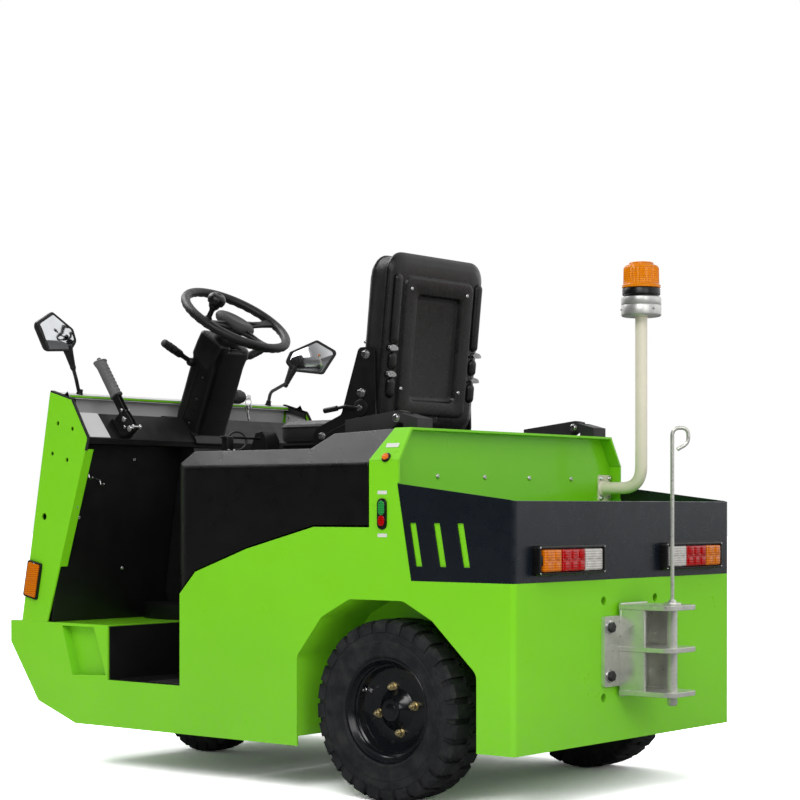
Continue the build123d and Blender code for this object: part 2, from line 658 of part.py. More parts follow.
# Bulkhead: the front wall of the battery compartment, on the ends of the rails
BULKHEAD_TOP = KNEE_LINE[0][1] - 10
with BuildPart() as bulkhead:
    with BuildSketch(Plane.YZ.offset(along(RAIL_FRONT))):
        with Locations((0, (RAIL_BOTTOM + BULKHEAD_TOP) / 2)):
            Rectangle(BODY_WIDTH - 2 * PLATE, BULKHEAD_TOP - RAIL_BOTTOM)
    extrude(amount=SHEET)
save(bulkhead.part, "bulkhead")

# Hood: the tilting lid over the battery, a hollow moulding that carries the seat
HOOD_SIDE = (
    *reversed(KNEE_LINE),
    (BULKHEAD_AT + HOOD_CHEST, HOOD_TOP_FRONT - 184),
    (BULKHEAD_AT + 15, HOOD_TOP_FRONT - 48),
    (BULKHEAD_AT - 36, HOOD_TOP_FRONT),
    (LID_REAR + 214, HOOD_TOP_FRONT),
    (LID_REAR + 154, HOOD_TOP_REAR - HOOD_FALL),
    (LID_REAR - 42, HOOD_TOP_REAR),
    (LID_REAR, FLANK_TOP),
)
HOOD_UNDER = (
    (LID_REAR - 60, FLOOR_TOP),
    (BULKHEAD_AT - HOOD_WALL, FLOOR_TOP),
    (BULKHEAD_AT - HOOD_WALL, KNEE_LINE[0][1]),
    (BULKHEAD_AT + HOOD_CHEST - HOOD_WALL, HOOD_TOP_FRONT - 184),
    (BULKHEAD_AT + 15 - HOOD_WALL, HOOD_TOP_FRONT - 54),
    (BULKHEAD_AT - 42, HOOD_TOP_FRONT - HOOD_WALL),
    (LID_REAR + 211, HOOD_TOP_FRONT - HOOD_WALL),
    (LID_REAR + 151, HOOD_TOP_REAR - HOOD_FALL - HOOD_WALL),
    (LID_REAR - 60, HOOD_TOP_REAR - HOOD_WALL),
)
HOOD_EDGE = FLANK_TOP - 10
HOOD_TOP_HALF = HALF - SHOULDER_IN - SHOULDER_GAP


def hood_section(inset, edge_round):
    """Cross section of the hood, inset from its outside, with its long edges rounded where asked."""
    half, top_half, top = HALF - inset, HOOD_TOP_HALF - inset, HOOD_TOP_REAR + 1
    with BuildSketch(Plane.YZ.offset(along(0))) as section:
        Polygon(
            (-half, 0),
            (half, 0),
            (half, HOOD_EDGE),
            (top_half, top),
            (-top_half, top),
            (-half, HOOD_EDGE),
            align=None,
        )
        if edge_round:
            shoulders = section.vertices().filter_by(lambda corner: abs(corner.Y - HOOD_EDGE) < 1)
            fillet(shoulders, edge_round)
    return section.sketch


def hood_plan(inset):
    """Plan of the hood, inset from its outside, with its front corners rounded."""
    with BuildSketch() as plan:
        with Locations((along((BULKHEAD_AT + HOOD_CHEST - inset) / 2), 0)):
            Rectangle(BULKHEAD_AT + HOOD_CHEST - inset, 2 * (HALF - inset))
        fillet(plan.vertices().group_by(Axis.X)[-1], HOOD_CORNER_ROUND - inset)
    return plan.sketch


with BuildPart() as hood_core:
    with BuildSketch(Plane.XZ.offset(-HALF)):
        Polygon(*side_points(HOOD_UNDER), align=None)
    extrude(amount=BODY_WIDTH)
    extrude(hood_section(HOOD_WALL, 0), amount=BODY_LENGTH, mode=Mode.INTERSECT)
    extrude(hood_plan(HOOD_WALL), amount=BODY_TOP, mode=Mode.INTERSECT)
with BuildPart() as hood:
    with BuildSketch(Plane.XZ.offset(-HALF)) as hood_side:
        Polygon(*side_points(HOOD_SIDE), align=None)
        chest = hood_side.vertices().filter_by(lambda corner: corner.X > along(BULKHEAD_AT))
        fillet(chest.sort_by(Axis.Y)[-1], HOOD_BROW_ROUND)
    extrude(amount=BODY_WIDTH)
    extrude(hood_section(0, HOOD_EDGE_ROUND), amount=BODY_LENGTH, mode=Mode.INTERSECT)
    extrude(hood_plan(0), amount=BODY_TOP, mode=Mode.INTERSECT)
    add(hood_core.part, mode=Mode.SUBTRACT)
save(hood.part, "hood")

# Hood hinges: forked blocks on the shoulders, arms on the hood, one pin through both
with BuildPart() as hinge_blocks:
    for side in (1, -1):
        with BuildSketch(Plane.XZ.offset(-side * HINGE_OUT - HINGE_HALF)):
            Polygon(
                (along(FLANK_REAR + 2), BODY_TOP),
                (along(FLANK_REAR + 48), BODY_TOP),
                (along(FLANK_REAR + 48), PIVOT_HEIGHT - 14),
                (along(PIVOT_AT + 12), PIVOT_HEIGHT - 6),
                (along(PIVOT_AT + 8), PIVOT_HEIGHT + 12),
                (along(PIVOT_AT - 14), PIVOT_HEIGHT + 12),
                (along(FLANK_REAR + 2), PIVOT_HEIGHT - 2),
                align=None,
            )
        extrude(amount=2 * HINGE_HALF)
        with BuildSketch(Plane.XZ.offset(-side * HINGE_OUT - ARM_HALF - 1)):
            with Locations((along(PIVOT_AT), PIVOT_HEIGHT)):
                Rectangle(52, 60)
        extrude(amount=2 * ARM_HALF + 2, mode=Mode.SUBTRACT)
        with BuildSketch(Plane.XZ.offset(-side * HINGE_OUT - HINGE_HALF)):
            with Locations((along(PIVOT_AT), PIVOT_HEIGHT)):
                Circle(PIVOT_RADIUS)
        extrude(amount=2 * HINGE_HALF)
save(hinge_blocks.part, "hinge_blocks")

with BuildPart() as hinge_arms:
    for side in (1, -1):
        with BuildSketch(Plane.XZ.offset(-side * HINGE_OUT - ARM_HALF)):
            Polygon(
                (along(PIVOT_AT - 10), PIVOT_HEIGHT + 16),
                (along(PIVOT_AT - 10), PIVOT_HEIGHT - 8),
                (along(PIVOT_AT + 6), PIVOT_HEIGHT - 12),
                (along(LID_REAR + 4), HOOD_TOP_REAR - HOOD_FALL * 46 / 196 + SEAT_GAP),
                (along(LID_REAR + 154), HOOD_TOP_REAR - HOOD_FALL + SEAT_GAP),
                (along(LID_REAR + 154), PIVOT_HEIGHT),
                (along(PIVOT_AT + 6), PIVOT_HEIGHT + 20),
                align=None,
            )
            with Locations((along(PIVOT_AT), PIVOT_HEIGHT)):
                Circle(PIVOT_RADIUS + SEAT_GAP, mode=Mode.SUBTRACT)
        extrude(amount=2 * ARM_HALF)
save(hinge_arms.part, "hinge_arms")

# Seat slide rails and their plate
CUSHION_FRONT = BULKHEAD_AT - CUSHION_SETBACK
CUSHION_REAR = CUSHION_FRONT - CUSHION_LENGTH
SEAT_PLATE_BOTTOM = HOOD_TOP_FRONT + SEAT_RAIL_HEIGHT
SEAT_PLATE_TOP = SEAT_PLATE_BOTTOM + SEAT_PLATE
with BuildPart() as seat_base:
    with BuildSketch(Plane.XY.offset(HOOD_TOP_FRONT)):
        with Locations(*((along(CUSHION_REAR + 79), side * SEAT_RAIL_OUT) for side in (1, -1))):
            Rectangle(CUSHION_LENGTH + 86, SEAT_RAIL_WIDTH)
    extrude(amount=SEAT_RAIL_HEIGHT)
    with BuildSketch(Plane.XY.offset(SEAT_PLATE_BOTTOM)):
        with Locations((along(CUSHION_REAR + 79), 0)):
            Rectangle(CUSHION_LENGTH + 96, SEAT_WIDTH - 40)
    extrude(amount=SEAT_PLATE)
save(seat_base.part, "seat_base")

with BuildPart() as seat_cushion:
    with BuildSketch(Plane.XY.offset(SEAT_PLATE_TOP + SEAT_GAP)):
        with Locations((along((CUSHION_REAR + CUSHION_FRONT) / 2), 0)):
            RectangleRounded(CUSHION_LENGTH, SEAT_WIDTH, CUSHION_ROUND)
    extrude(amount=CUSHION_THICK)
    chamfer(seat_cushion.faces().sort_by(Axis.Z)[-1].edges(), 18)
save(seat_cushion.part, "seat_cushion")

# Seat back: a bevelled shell with a raised frame and a sunk panel, and the pad in front of it
BACK_AT = BULKHEAD_AT - BACK_SETBACK
back_plane = Plane(
    origin=(along(BACK_AT), 0, HOOD_TOP_FRONT + BACK_FOOT),
    x_dir=(0, 1, 0),
    z_dir=(cos(radians(BACK_LEAN)), 0, sin(radians(BACK_LEAN))),
)
BACK_AXIS = Axis(back_plane.origin, back_plane.z_dir)
with BuildPart() as seat_shell:
    with BuildSketch(back_plane.offset(SHELL_RIB)):
        with Locations((0, BACK_HEIGHT / 2)):
            RectangleRounded(SEAT_WIDTH, BACK_HEIGHT, 55)
    extrude(amount=SHELL_THICK)
    chamfer(seat_shell.faces().sort_by(BACK_AXIS)[0].edges(), SHELL_BEVEL, SHELL_BEVEL * 2)
    with BuildSketch(back_plane):
        with Locations((0, BACK_HEIGHT / 2 - 6)):
            RectangleRounded(SEAT_WIDTH - 124, BACK_HEIGHT - 116, 22)
    extrude(amount=SHELL_RIB)
    with BuildSketch(back_plane):
        with Locations((0, BACK_HEIGHT / 2 - 10)):
            RectangleRounded(SEAT_WIDTH - 216, BACK_HEIGHT - 196, 18)
    extrude(amount=SHELL_RIB + 6, mode=Mode.SUBTRACT)
save(seat_shell.part, "seat_shell")

with BuildPart() as seat_back:
    with BuildSketch(back_plane.offset(SHELL_RIB + SHELL_THICK + SEAT_GAP)):
        with Locations((0, BACK_HEIGHT / 2 + 6)):
            RectangleRounded(SEAT_WIDTH - 4, BACK_HEIGHT - 18, 50)
    extrude(amount=BACK_PAD)
    chamfer(seat_back.faces().sort_by(BACK_AXIS)[-1].edges(), 22)
save(seat_back.part, "seat_back")

# Side brackets that tie the back to the seat plate
BRACKET_OUT = SEAT_WIDTH / 2 + SEAT_GAP
BRACKET_OUTLINE = (
    (BACK_AT + 28, SEAT_PLATE_BOTTOM),
    (CUSHION_REAR + 114, SEAT_PLATE_BOTTOM),
    (CUSHION_REAR + 94, SEAT_PLATE_BOTTOM + 44),
    (CUSHION_REAR + 4, SEAT_PLATE_BOTTOM + 79),
    (BACK_AT + 83, SEAT_PLATE_BOTTOM + 214),
    (BACK_AT + 10, SEAT_PLATE_BOTTOM + 214),
    (BACK_AT + 18, SEAT_PLATE_BOTTOM + 54),
)
with BuildPart() as seat_brackets:
    for side in (1, -1):
        with BuildSketch(Plane.XZ.offset(-side * BRACKET_OUT)):
            Polygon(*side_points(BRACKET_OUTLINE), align=None)
        extrude(amount=-side * PLATE)
    with BuildSketch(Plane.XY.offset(SEAT_PLATE_BOTTOM)):
        for side in (1, -1):
            with Locations((along(CUSHION_REAR + 14), side * (SEAT_WIDTH / 2 - 20 + 13))):
                Rectangle(150, 26)
    extrude(amount=SEAT_PLATE)
save(seat_brackets.part, "seat_brackets")

# Front cowl: side flanks with return flanges, and the front panel with its top flange
COWL_SIDE = ((243, 661), (148, 634), (81, 525), (256, 0), (366, 0))
COWL_FRONT = ((366, 0), (243, 661), (220, 654), (220, 648), (239, 654), (360, 0))
COWL_FLANGE = ((91.3, 494), (202.7, 160), (208.7, 160), (97.3, 494))
SMALL_HOLES = ((210, 570), (148, 553), (234, 484), (171, 465))
with BuildPart() as cowl:
    for side in (1, -1):
        with BuildSketch(Plane.XZ.offset(-side * HALF)):
            Polygon(*cowl_points(COWL_SIDE), align=None)
            with Locations(*cowl_points(SMALL_HOLES)):
                Circle(6, mode=Mode.SUBTRACT)
            with Locations(*cowl_points([(269, 303)])):
                Circle(10, mode=Mode.SUBTRACT)
        extrude(amount=side * COWL_WALL)
        with BuildSketch(Plane.XZ.offset(-side * (HALF - COWL_WALL))):
            Polygon(*cowl_points(COWL_FLANGE), align=None)
        extrude(amount=side * FLANGE_WIDTH)
    with BuildSketch(Plane.XZ.offset(-(HALF - COWL_WALL))):
        Polygon(*cowl_points(COWL_FRONT), align=None)
    extrude(amount=2 * (HALF - COWL_WALL))
save(cowl.part, "cowl")

# Dash: the box across the cowl, open in the middle for the column, and the kick panel below it
DASH_HALF = HALF - COWL_WALL - SEAT_GAP
DASH_UNDER = 510
DASH_SKIN = (
    (234, 604),
    (144, 599),
    (84, 526),
    (88, DASH_UNDER),
    (154, DASH_UNDER),
    (238, 0),
    (244, 0),
    (160, DASH_UNDER + 6),
    (94, DASH_UNDER + 6),
    (90, 524),
    (147, 593),
    (235, 598),
)
with BuildPart() as dash:
    with BuildSketch(Plane.XZ.offset(-DASH_HALF)):
        Polygon(*cowl_points(DASH_SKIN), align=None)
    extrude(amount=2 * DASH_HALF)
    with BuildSketch(Plane.XY.offset(NOSE_TOP + DASH_UNDER + 6)):
        with Locations((along(NOSE_REAR + 158), 0)):
            Rectangle(200, 2 * (COLUMN_HALF + SEAT_GAP))
    extrude(amount=100, mode=Mode.SUBTRACT)
    with BuildSketch(Plane.XY.offset(NOSE_TOP)):
        with Locations((along(FRONT_AXLE_AT), 0)):
            Circle(HUMP_RADIUS + SEAT_GAP)
    extrude(amount=HUMP_TOP - NOSE_TOP + SEAT_GAP, mode=Mode.SUBTRACT)
save(dash.part, "dash")

# Steering column cover, leaning back from the dash, its top square to the shaft
lean = radians(COLUMN_LEAN)
HUB_X = along(NOSE_REAR - HUB_BEHIND)
HUB_Z = NOSE_TOP + HUB_RISE
HUB_DEPTH = 82.0
column_plane = Plane(origin=(HUB_X, 0, HUB_Z), x_dir=(0, 1, 0), z_dir=(-sin(lean), 0, cos(lean)))
top_x = HUB_X + HUB_DEPTH * sin(lean)
top_z = HUB_Z - HUB_DEPTH * cos(lean)
HEAD_HALF = 57.4
with BuildPart() as column_cover:
    with BuildSketch(Plane.XZ.offset(-COLUMN_HALF)):
        Polygon(
            (top_x - HEAD_HALF * cos(lean), top_z - HEAD_HALF * sin(lean)),
            (top_x + HEAD_HALF * cos(lean), top_z + HEAD_HALF * sin(lean)),
            *cowl_points(((219, 641), (219, 586), (158, DASH_UNDER + 6 + SEAT_GAP), (146, DASH_UNDER + 6 + SEAT_GAP))),
            align=None,
        )
    extrude(amount=2 * COLUMN_HALF)
    long_edges = column_cover.faces().filter_by(Axis.Y).edges().filter_by(lambda edge: edge.length > 100)
    chamfer(long_edges, COLUMN_CHAMFER)
save(column_cover.part, "column_cover")

# Pedestal from the hump up to the dash, round the steering shaft
with BuildPart() as pedestal:
    with BuildSketch(Plane.XZ.offset(-COLUMN_HALF)):
        Polygon(
            *cowl_points(((98, DASH_UNDER), (150, DASH_UNDER))),
            (along(NOSE_REAR + 220), HUMP_TOP + 30),
            (along(NOSE_REAR + 208), HUMP_TOP),
            (along(NOSE_REAR + 34), HUMP_TOP),
            align=None,
        )
    extrude(amount=2 * COLUMN_HALF)
    with BuildSketch(Plane.XY.offset(HUMP_TOP)):
        with Locations((along(FRONT_AXLE_AT), 0)):
            Circle(KING_PIN_RADIUS + 8)
    extrude(amount=20, mode=Mode.SUBTRACT)
save(pedestal.part, "pedestal")

# Steering wheel: rim, shaft hub, three spokes, oval pad and the spinner knob
SPOKE_ANGLES = (8, 95, 182)
KNOB_FOOT = (143, 25)
KNOB_REACH = 76.0
rim_axis = column_plane.x_dir.cross(column_plane.z_dir)
rim_plane = Plane(origin=column_plane.origin, x_dir=(0, 1, 0), z_dir=rim_axis)
with BuildPart() as steering_wheel:
    with BuildSketch(rim_plane):
        with Locations((HAND_WHEEL_RADIUS - HAND_RIM_RADIUS, 0)):
            Circle(HAND_RIM_RADIUS)
    revolve(axis=Axis(column_plane.origin, column_plane.z_dir))
    with BuildSketch(column_plane.offset(SEAT_GAP - HUB_DEPTH)):
        Circle(HAND_HUB_RADIUS)
    extrude(amount=HUB_DEPTH - 10)
    with BuildSketch(column_plane.offset(-20)):
        for angle in SPOKE_ANGLES:
            with Locations(Rotation(0, 0, angle) * Location((HAND_WHEEL_RADIUS / 2, 0, 0))):
                Rectangle(HAND_WHEEL_RADIUS - 22, 26)
    extrude(amount=12)
    with BuildSketch(column_plane.offset(-20)):
        Ellipse(62, 38, rotation=119)
    extrude(amount=22, taper=12)
    with BuildSketch(column_plane.offset(-6)):
        with Locations(KNOB_FOOT):
            Circle(10)
    extrude(amount=KNOB_REACH)
    with BuildSketch(column_plane.offset(KNOB_REACH - 20)):
        with Locations(KNOB_FOOT):
            Circle(26)
    extrude(amount=20)
    with BuildSketch(column_plane.offset(KNOB_REACH)):
        with Locations(KNOB_FOOT):
            Circle(26)
    extrude(amount=14, taper=40)
save(steering_wheel.part, "steering_wheel")

# Levers either side of the column and the key switch on its right
STALK_FEET = ((1, 108, 766), (-1, 40, 770))
KEY_FOOT = (84, 668)
with BuildPart() as stalks:
    for side, ahead, height in STALK_FEET:
        foot = Vector(along(NOSE_REAR + ahead), side * (COLUMN_HALF + SEAT_GAP), NOSE_TOP + height)
        tilt = radians(STALK_RISE)
        with BuildSketch(Plane(origin=foot, x_dir=(1, 0, 0), z_dir=(0, side, 0))):
            Circle(STALK_RADIUS + 6)
        extrude(amount=12)
        stalk_plane = Plane(origin=foot, x_dir=(1, 0, 0), z_dir=(0, side * cos(tilt), sin(tilt)))
        with BuildSketch(stalk_plane.offset(7)):
            Circle(STALK_RADIUS)
        extrude(amount=STALK_LENGTH - 7)
        with BuildSketch(stalk_plane.offset(STALK_LENGTH - 60)):
            Circle(STALK_RADIUS + 3)
        extrude(amount=60)
    with BuildSketch(Plane.XZ.offset(COLUMN_HALF + SEAT_GAP)):
        with Locations(*cowl_points([KEY_FOOT])):
            Circle(17)
    extrude(amount=44)
save(stalks.part, "stalks")

# Handbrake: bracket on the dash face, two-plate lever with pivots, and a round grip
BRAKE_OUT = HALF - BRAKE_INSET
BRACKET_FEET = ((87.8, 531.1), (127.8, 579.7), (100, 602), (53, 559))
brake_lean = atan2(0.567, 0.824)
with BuildPart() as handbrake:
    with BuildSketch(Plane.XZ.offset(-BRAKE_OUT - 12)):
        Polygon(*cowl_points(BRACKET_FEET), align=None)
    extrude(amount=24)
    brake_plane = Plane(
        origin=(along(NOSE_REAR + 60), BRAKE_OUT, NOSE_TOP + 554),
        x_dir=(0, 1, 0),
        z_dir=(sin(brake_lean), 0, cos(brake_lean)),
    )
    with BuildSketch(brake_plane):
        with Locations((9, 0), (-9, 0)):
            Rectangle(4, 32)
    extrude(amount=135)
    with BuildSketch(brake_plane.offset(118)):
        Circle(15)
    extrude(amount=124)
    with BuildSketch(brake_plane.offset(242)):
        Circle(15)
    extrude(amount=6, taper=40)
save(handbrake.part, "handbrake")

# Pedals: pads on arms that stand out of the riser, right of the hump
PEDAL_INSETS = (230, 125)
with BuildPart() as pedals:
    for inset in PEDAL_INSETS:
        out = inset - HALF
        with BuildSketch(Plane.XZ.offset(-out - 32)):
            Polygon(
                (along(NOSE_REAR - 57), FLOOR_TOP + 67),
                (along(NOSE_REAR - 50), FLOOR_TOP + 61),
                (along(NOSE_REAR - 26), FLOOR_TOP + 121),
                (along(NOSE_REAR - 33), FLOOR_TOP + 127),
                align=None,
            )
        extrude(amount=64)
        with BuildSketch(Plane.XZ.offset(-out - 6)):
            Polygon(
                (along(NOSE_REAR - 42), FLOOR_TOP + 87),
                (along(NOSE_REAR - SHEET), FLOOR_TOP + 99),
                (along(NOSE_REAR - SHEET), FLOOR_TOP + 111),
                (along(NOSE_REAR - 36), FLOOR_TOP + 99),
                align=None,
            )
        extrude(amount=12)
save(pedals.part, "pedals")

# Head lamps on the front panel: bezel ring and lens
cowl_lean = atan2(366 - 243, 661)
lamp_plane_x = NOSE_REAR + 366 - 236 * (366 - 243) / 661
with BuildPart() as headlamps:
    for side in (1, -1):
        lamp_plane = Plane(
            origin=(along(lamp_plane_x), side * (HALF - HEADLAMP_INSET), NOSE_TOP + 236),
            x_dir=(0, 1, 0),
            z_dir=(cos(cowl_lean), 0, sin(cowl_lean)),
        )
        with BuildSketch(lamp_plane):
            Circle(HEADLAMP_RADIUS)
        extrude(amount=26)
        with BuildSketch(lamp_plane.offset(26)):
            Circle(HEADLAMP_RADIUS - 10)
        extrude(amount=10, taper=45)
save(headlamps.part, "headlamps")

# Side markers: flat lamps set along the slant of the flanks
MARKER_AT = (315, 120)
with BuildPart() as side_markers:
    for side in (1, -1):
        with BuildSketch(Plane.XZ.offset(-side * HALF)):
            with Locations(*cowl_points([MARKER_AT])):
                Rectangle(59, 108, rotation=12)
        extrude(amount=-side * 12)
save(side_markers.part, "side_markers")

# Mirrors: a flange on the cowl's top, a bent stalk and an angular head
MIRROR_TIP = HALF + MIRROR_TIP_OUT
MIRROR_FOOT = (231, 654 + 11 * 7 / 23)
# Outline of the head as (outward, up), and the stalk's last points inside it
MIRROR_HEAD = (
    (-MIRROR_HALF_WIDTH + 25, -50),
    (MIRROR_HALF_WIDTH - 51, -58),
    (MIRROR_HALF_WIDTH, 18),
    (MIRROR_HALF_WIDTH - 73, 56),
    (-MIRROR_HALF_WIDTH + 16, 14),
    (-MIRROR_HALF_WIDTH, -20),
)
STALK_END = ((-84, -88), (-60, -36))
with BuildPart() as mirrors:
    for side, ahead, yaw in zip((1, -1), MIRROR_AHEAD, MIRROR_YAW):
        foot_x = along(NOSE_REAR + MIRROR_FOOT[0])
        foot_y = HALF - MIRROR_FOOT_INSET
        foot_z = NOSE_TOP + MIRROR_FOOT[1] + SEAT_GAP
        head_x = along(NOSE_REAR + ahead)
        head_y = MIRROR_TIP - MIRROR_HALF_WIDTH * cos(radians(yaw))
        head_z = NOSE_TOP + MIRROR_RISE
        head_plane = Plane(
            origin=(head_x, side * head_y, head_z),
            x_dir=(side * sin(radians(yaw)), side * cos(radians(yaw)), 0),
            z_dir=(-cos(radians(yaw)), sin(radians(yaw)), 0),
        )
        with BuildLine() as stalk_line:
            FilletPolyline(
                (foot_x, side * foot_y, foot_z + 6),
                (foot_x, side * (foot_y + 12), foot_z + 50),
                *(head_plane.from_local_coords((out, -side * up, -12)) for out, up in STALK_END),
                radius=26,
            )
        with BuildSketch(Plane(origin=stalk_line.line @ 0, z_dir=stalk_line.line % 0)):
            Circle(6)
        sweep(path=stalk_line.line)
        with BuildSketch(Plane(origin=(foot_x, side * foot_y, foot_z), x_dir=(0, 1, 0), z_dir=(-7, 0, 23))):
            Circle(11)
        extrude(amount=14)
        with BuildSketch(head_plane):
            Polygon(*((out, -side * up) for out, up in MIRROR_HEAD), align=None)
        extrude(amount=-30, taper=20)
save(mirrors.part, "mirrors")

# Rear lamps: framed housings, and three lens blocks in each
LAMP_OUT = HALF - LAMP_INSET
LAMP_Z = BAND_BOTTOM + LAMP_RISE
LAMP_FRAME = 9.0
# outward shift from the lamp's middle, width
LENS_BLOCKS = ((90, 74), (2, 88), (-86, 76))
with BuildPart() as lamp_housings:
    for side in (1, -1):
        with BuildSketch(Plane.YZ.offset(along(0))):
            with Locations((side * LAMP_OUT, LAMP_Z)):
                RectangleRounded(LAMP_WIDTH, LAMP_HEIGHT, 8)
        extrude(amount=-22)
        with BuildSketch(Plane.YZ.offset(along(-10))):
            with Locations((side * LAMP_OUT, LAMP_Z)):
                Rectangle(LAMP_WIDTH - 2 * LAMP_FRAME, LAMP_HEIGHT - 2 * LAMP_FRAME)
        extrude(amount=-22, mode=Mode.SUBTRACT)
save(lamp_housings.part, "lamp_housings")
with BuildPart() as lamp_lenses:
    for side in (1, -1):
        for outward, width in LENS_BLOCKS:
            with BuildSketch(Plane.YZ.offset(along(-10))):
                with Locations((side * (LAMP_OUT + outward), LAMP_Z)):
                    Rectangle(width, LAMP_HEIGHT - 2 * LAMP_FRAME - 1)
            extrude(amount=-18)
save(lamp_lenses.part, "lamp_lenses")

# Beacon: bent tube pole on a foot plate, cast cup, and a stepped lens
POLE_FOOT_WIDTH = 60.0
with BuildPart() as beacon_pole:
    with BuildLine() as pole_line:
        FilletPolyline(
            (along(WALL_AT), -POLE_OUT, POLE_FOOT_HEIGHT),
            (along(POLE_AT), -POLE_OUT, POLE_FOOT_HEIGHT),
            (along(POLE_AT), -POLE_OUT, POLE_TOP),
            radius=POLE_BEND,
        )
    with BuildSketch(Plane(origin=pole_line.line @ 0, z_dir=pole_line.line % 0)):
        Circle(POLE_RADIUS)
    sweep(path=pole_line.line)
    with BuildSketch(Plane.YZ.offset(along(WALL_AT))):
        with Locations((SEAT_GAP + PLATE + POLE_FOOT_WIDTH / 2 - HALF, POLE_FOOT_HEIGHT)):
            Rectangle(POLE_FOOT_WIDTH, 74)
    extrude(amount=-5)
save(beacon_pole.part, "beacon_pole")
# Sections as (radius, height above the pole's top)
CUP_SECTION = (
    (0, 0),
    (BEACON_RADIUS - 4, 0),
    (BEACON_RADIUS, 5),
    (BEACON_RADIUS, 55),
    (46, 55),
    (46, 60),
    (53, 60),
    (53, 80),
    (0, 80),
)
LENS_SECTION = ((0, 80), (54, 80), (54, 88), (49, 92), (48, 138), (44, 146), (34, 146), (34, 152), (0, 152))
beacon_plane = Plane(origin=(along(POLE_AT), -POLE_OUT, POLE_TOP), x_dir=(1, 0, 0), z_dir=(0, -1, 0))
with BuildPart() as beacon_base:
    with BuildSketch(beacon_plane):
        Polygon(*CUP_SECTION, align=None)
    revolve(axis=Axis(beacon_plane.origin, (0, 0, 1)))
save(beacon_base.part, "beacon_base")
with BuildPart() as beacon_lens:
    with BuildSketch(beacon_plane):
        Polygon(*LENS_SECTION, align=None)
    revolve(axis=Axis(beacon_plane.origin, (0, 0, 1)))
save(beacon_lens.part, "beacon_lens")

# Stepped tow coupling: base plate, three jaw plates, side webs and hexagon bolts
BASE_HEIGHT = 176.0
BASE_WIDTH = 262.0
BOLT_OUT = 108.0
BOLT_LEVELS = (434.0, 312.0)
BASE_LEVEL = sum(BOLT_LEVELS) / 2
WEB_DEPTH = 73.0
WEB_PLATE = 8.0
with BuildPart() as coupling_bracket:
    with BuildSketch(Plane.YZ.offset(along(0))):
        with Locations((0, BASE_LEVEL)):
            RectangleRounded(BASE_WIDTH, BASE_HEIGHT, 6)
    extrude(amount=-COUPLING_BASE)
    for level in COUPLING_LEVELS:
        with BuildSketch(Plane.XY.offset(level - COUPLING_PLATE / 2)) as jaw:
            with Locations((along(-(COUPLING_REACH + COUPLING_BASE - 1) / 2), 0)):
                Rectangle(COUPLING_REACH - COUPLING_BASE + 1, 2 * COUPLING_HALF)
            fillet(jaw.vertices().group_by(Axis.X)[0], 28)
            with Locations((along(PIN_AT), 0)):
                Circle(PIN_RADIUS + BORE_PLAY, mode=Mode.SUBTRACT)
        extrude(amount=COUPLING_PLATE)
    with BuildSketch(Plane.XY.offset(COUPLING_LEVELS[0])):
        for side in (1, -1):
            web_out = side * (COUPLING_HALF - WEB_PLATE / 2)
            with Locations((along(-COUPLING_BASE - WEB_DEPTH / 2 + 1), web_out)):
                Rectangle(WEB_DEPTH, WEB_PLATE)
    extrude(amount=COUPLING_LEVELS[2] - COUPLING_LEVELS[0])
    with BuildSketch(Plane.YZ.offset(along(-COUPLING_BASE))):
        with Locations((0, (COUPLING_LEVELS[0] + COUPLING_LEVELS[2]) / 2)):
            Rectangle(2 * COUPLING_HALF, COUPLING_LEVELS[2] - COUPLING_LEVELS[0])
    extrude(amount=-SHEET)
    with BuildSketch(Plane.YZ.offset(along(-COUPLING_BASE))):
        with Locations(*((side * BOLT_OUT, level) for side in (1, -1) for level in BOLT_LEVELS)):
            Circle(17)
    extrude(amount=-3)
    with BuildSketch(Plane.YZ.offset(along(-COUPLING_BASE))):
        with Locations(*((side * BOLT_OUT, level) for side in (1, -1) for level in BOLT_LEVELS)):
            RegularPolygon(14, 6)
    extrude(amount=-13)
save(coupling_bracket.part, "coupling_bracket")

# Drop pin: shank, collar on the top jaw, lifting rod and its open loop
PIN_FOOT = 31.0
COLLAR_RADIUS = 22.0
ROD_RADIUS = 5.0
ROD_TOP = 870.0
LOOP_TURN = radians(45.0)
JAW_TOP = COUPLING_LEVELS[2] + COUPLING_PLATE / 2
LOOP_POINTS = ((0, 62), (41, 62), (41, 24), (13, 8))
loop_plane = Plane(
    origin=(along(PIN_AT), 0, ROD_TOP),
    x_dir=(-cos(LOOP_TURN), -sin(LOOP_TURN), 0),
    z_dir=(-sin(LOOP_TURN), cos(LOOP_TURN), 0),
)
with BuildPart() as coupling_pin:
    with BuildSketch(Plane.XY.offset(COUPLING_LEVELS[0] - PIN_FOOT)) as shank:
        with Locations((along(PIN_AT), 0)):
            Circle(PIN_RADIUS)
    extrude(amount=JAW_TOP + SEAT_GAP + 1 + PIN_FOOT - COUPLING_LEVELS[0])
    chamfer(coupling_pin.edges().group_by(Axis.Z)[0], 3)
    with BuildSketch(Plane.XY.offset(JAW_TOP + SEAT_GAP)):
        with Locations((along(PIN_AT), 0)):
            Circle(COLLAR_RADIUS)
    extrude(amount=6)
    with BuildLine() as rod_line:
        FilletPolyline(
            (along(PIN_AT), 0, JAW_TOP + 4),
            *(loop_plane.from_local_coords((across, up, 0)) for across, up in LOOP_POINTS),
            radius=17,
        )
    with BuildSketch(Plane.XY.offset(JAW_TOP + 4)):
        with Locations((along(PIN_AT), 0)):
            Circle(ROD_RADIUS)
    sweep(path=rod_line.line)
save(coupling_pin.part, "coupling_pin")
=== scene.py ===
"""Dressed model of an airport baggage tug: a three-wheeled electric tow tractor with its seat on the hood."""

import logging
from collections.abc import Sequence
from dataclasses import dataclass
from enum import Enum
from math import atan2, cos, pi, radians, sin, tau

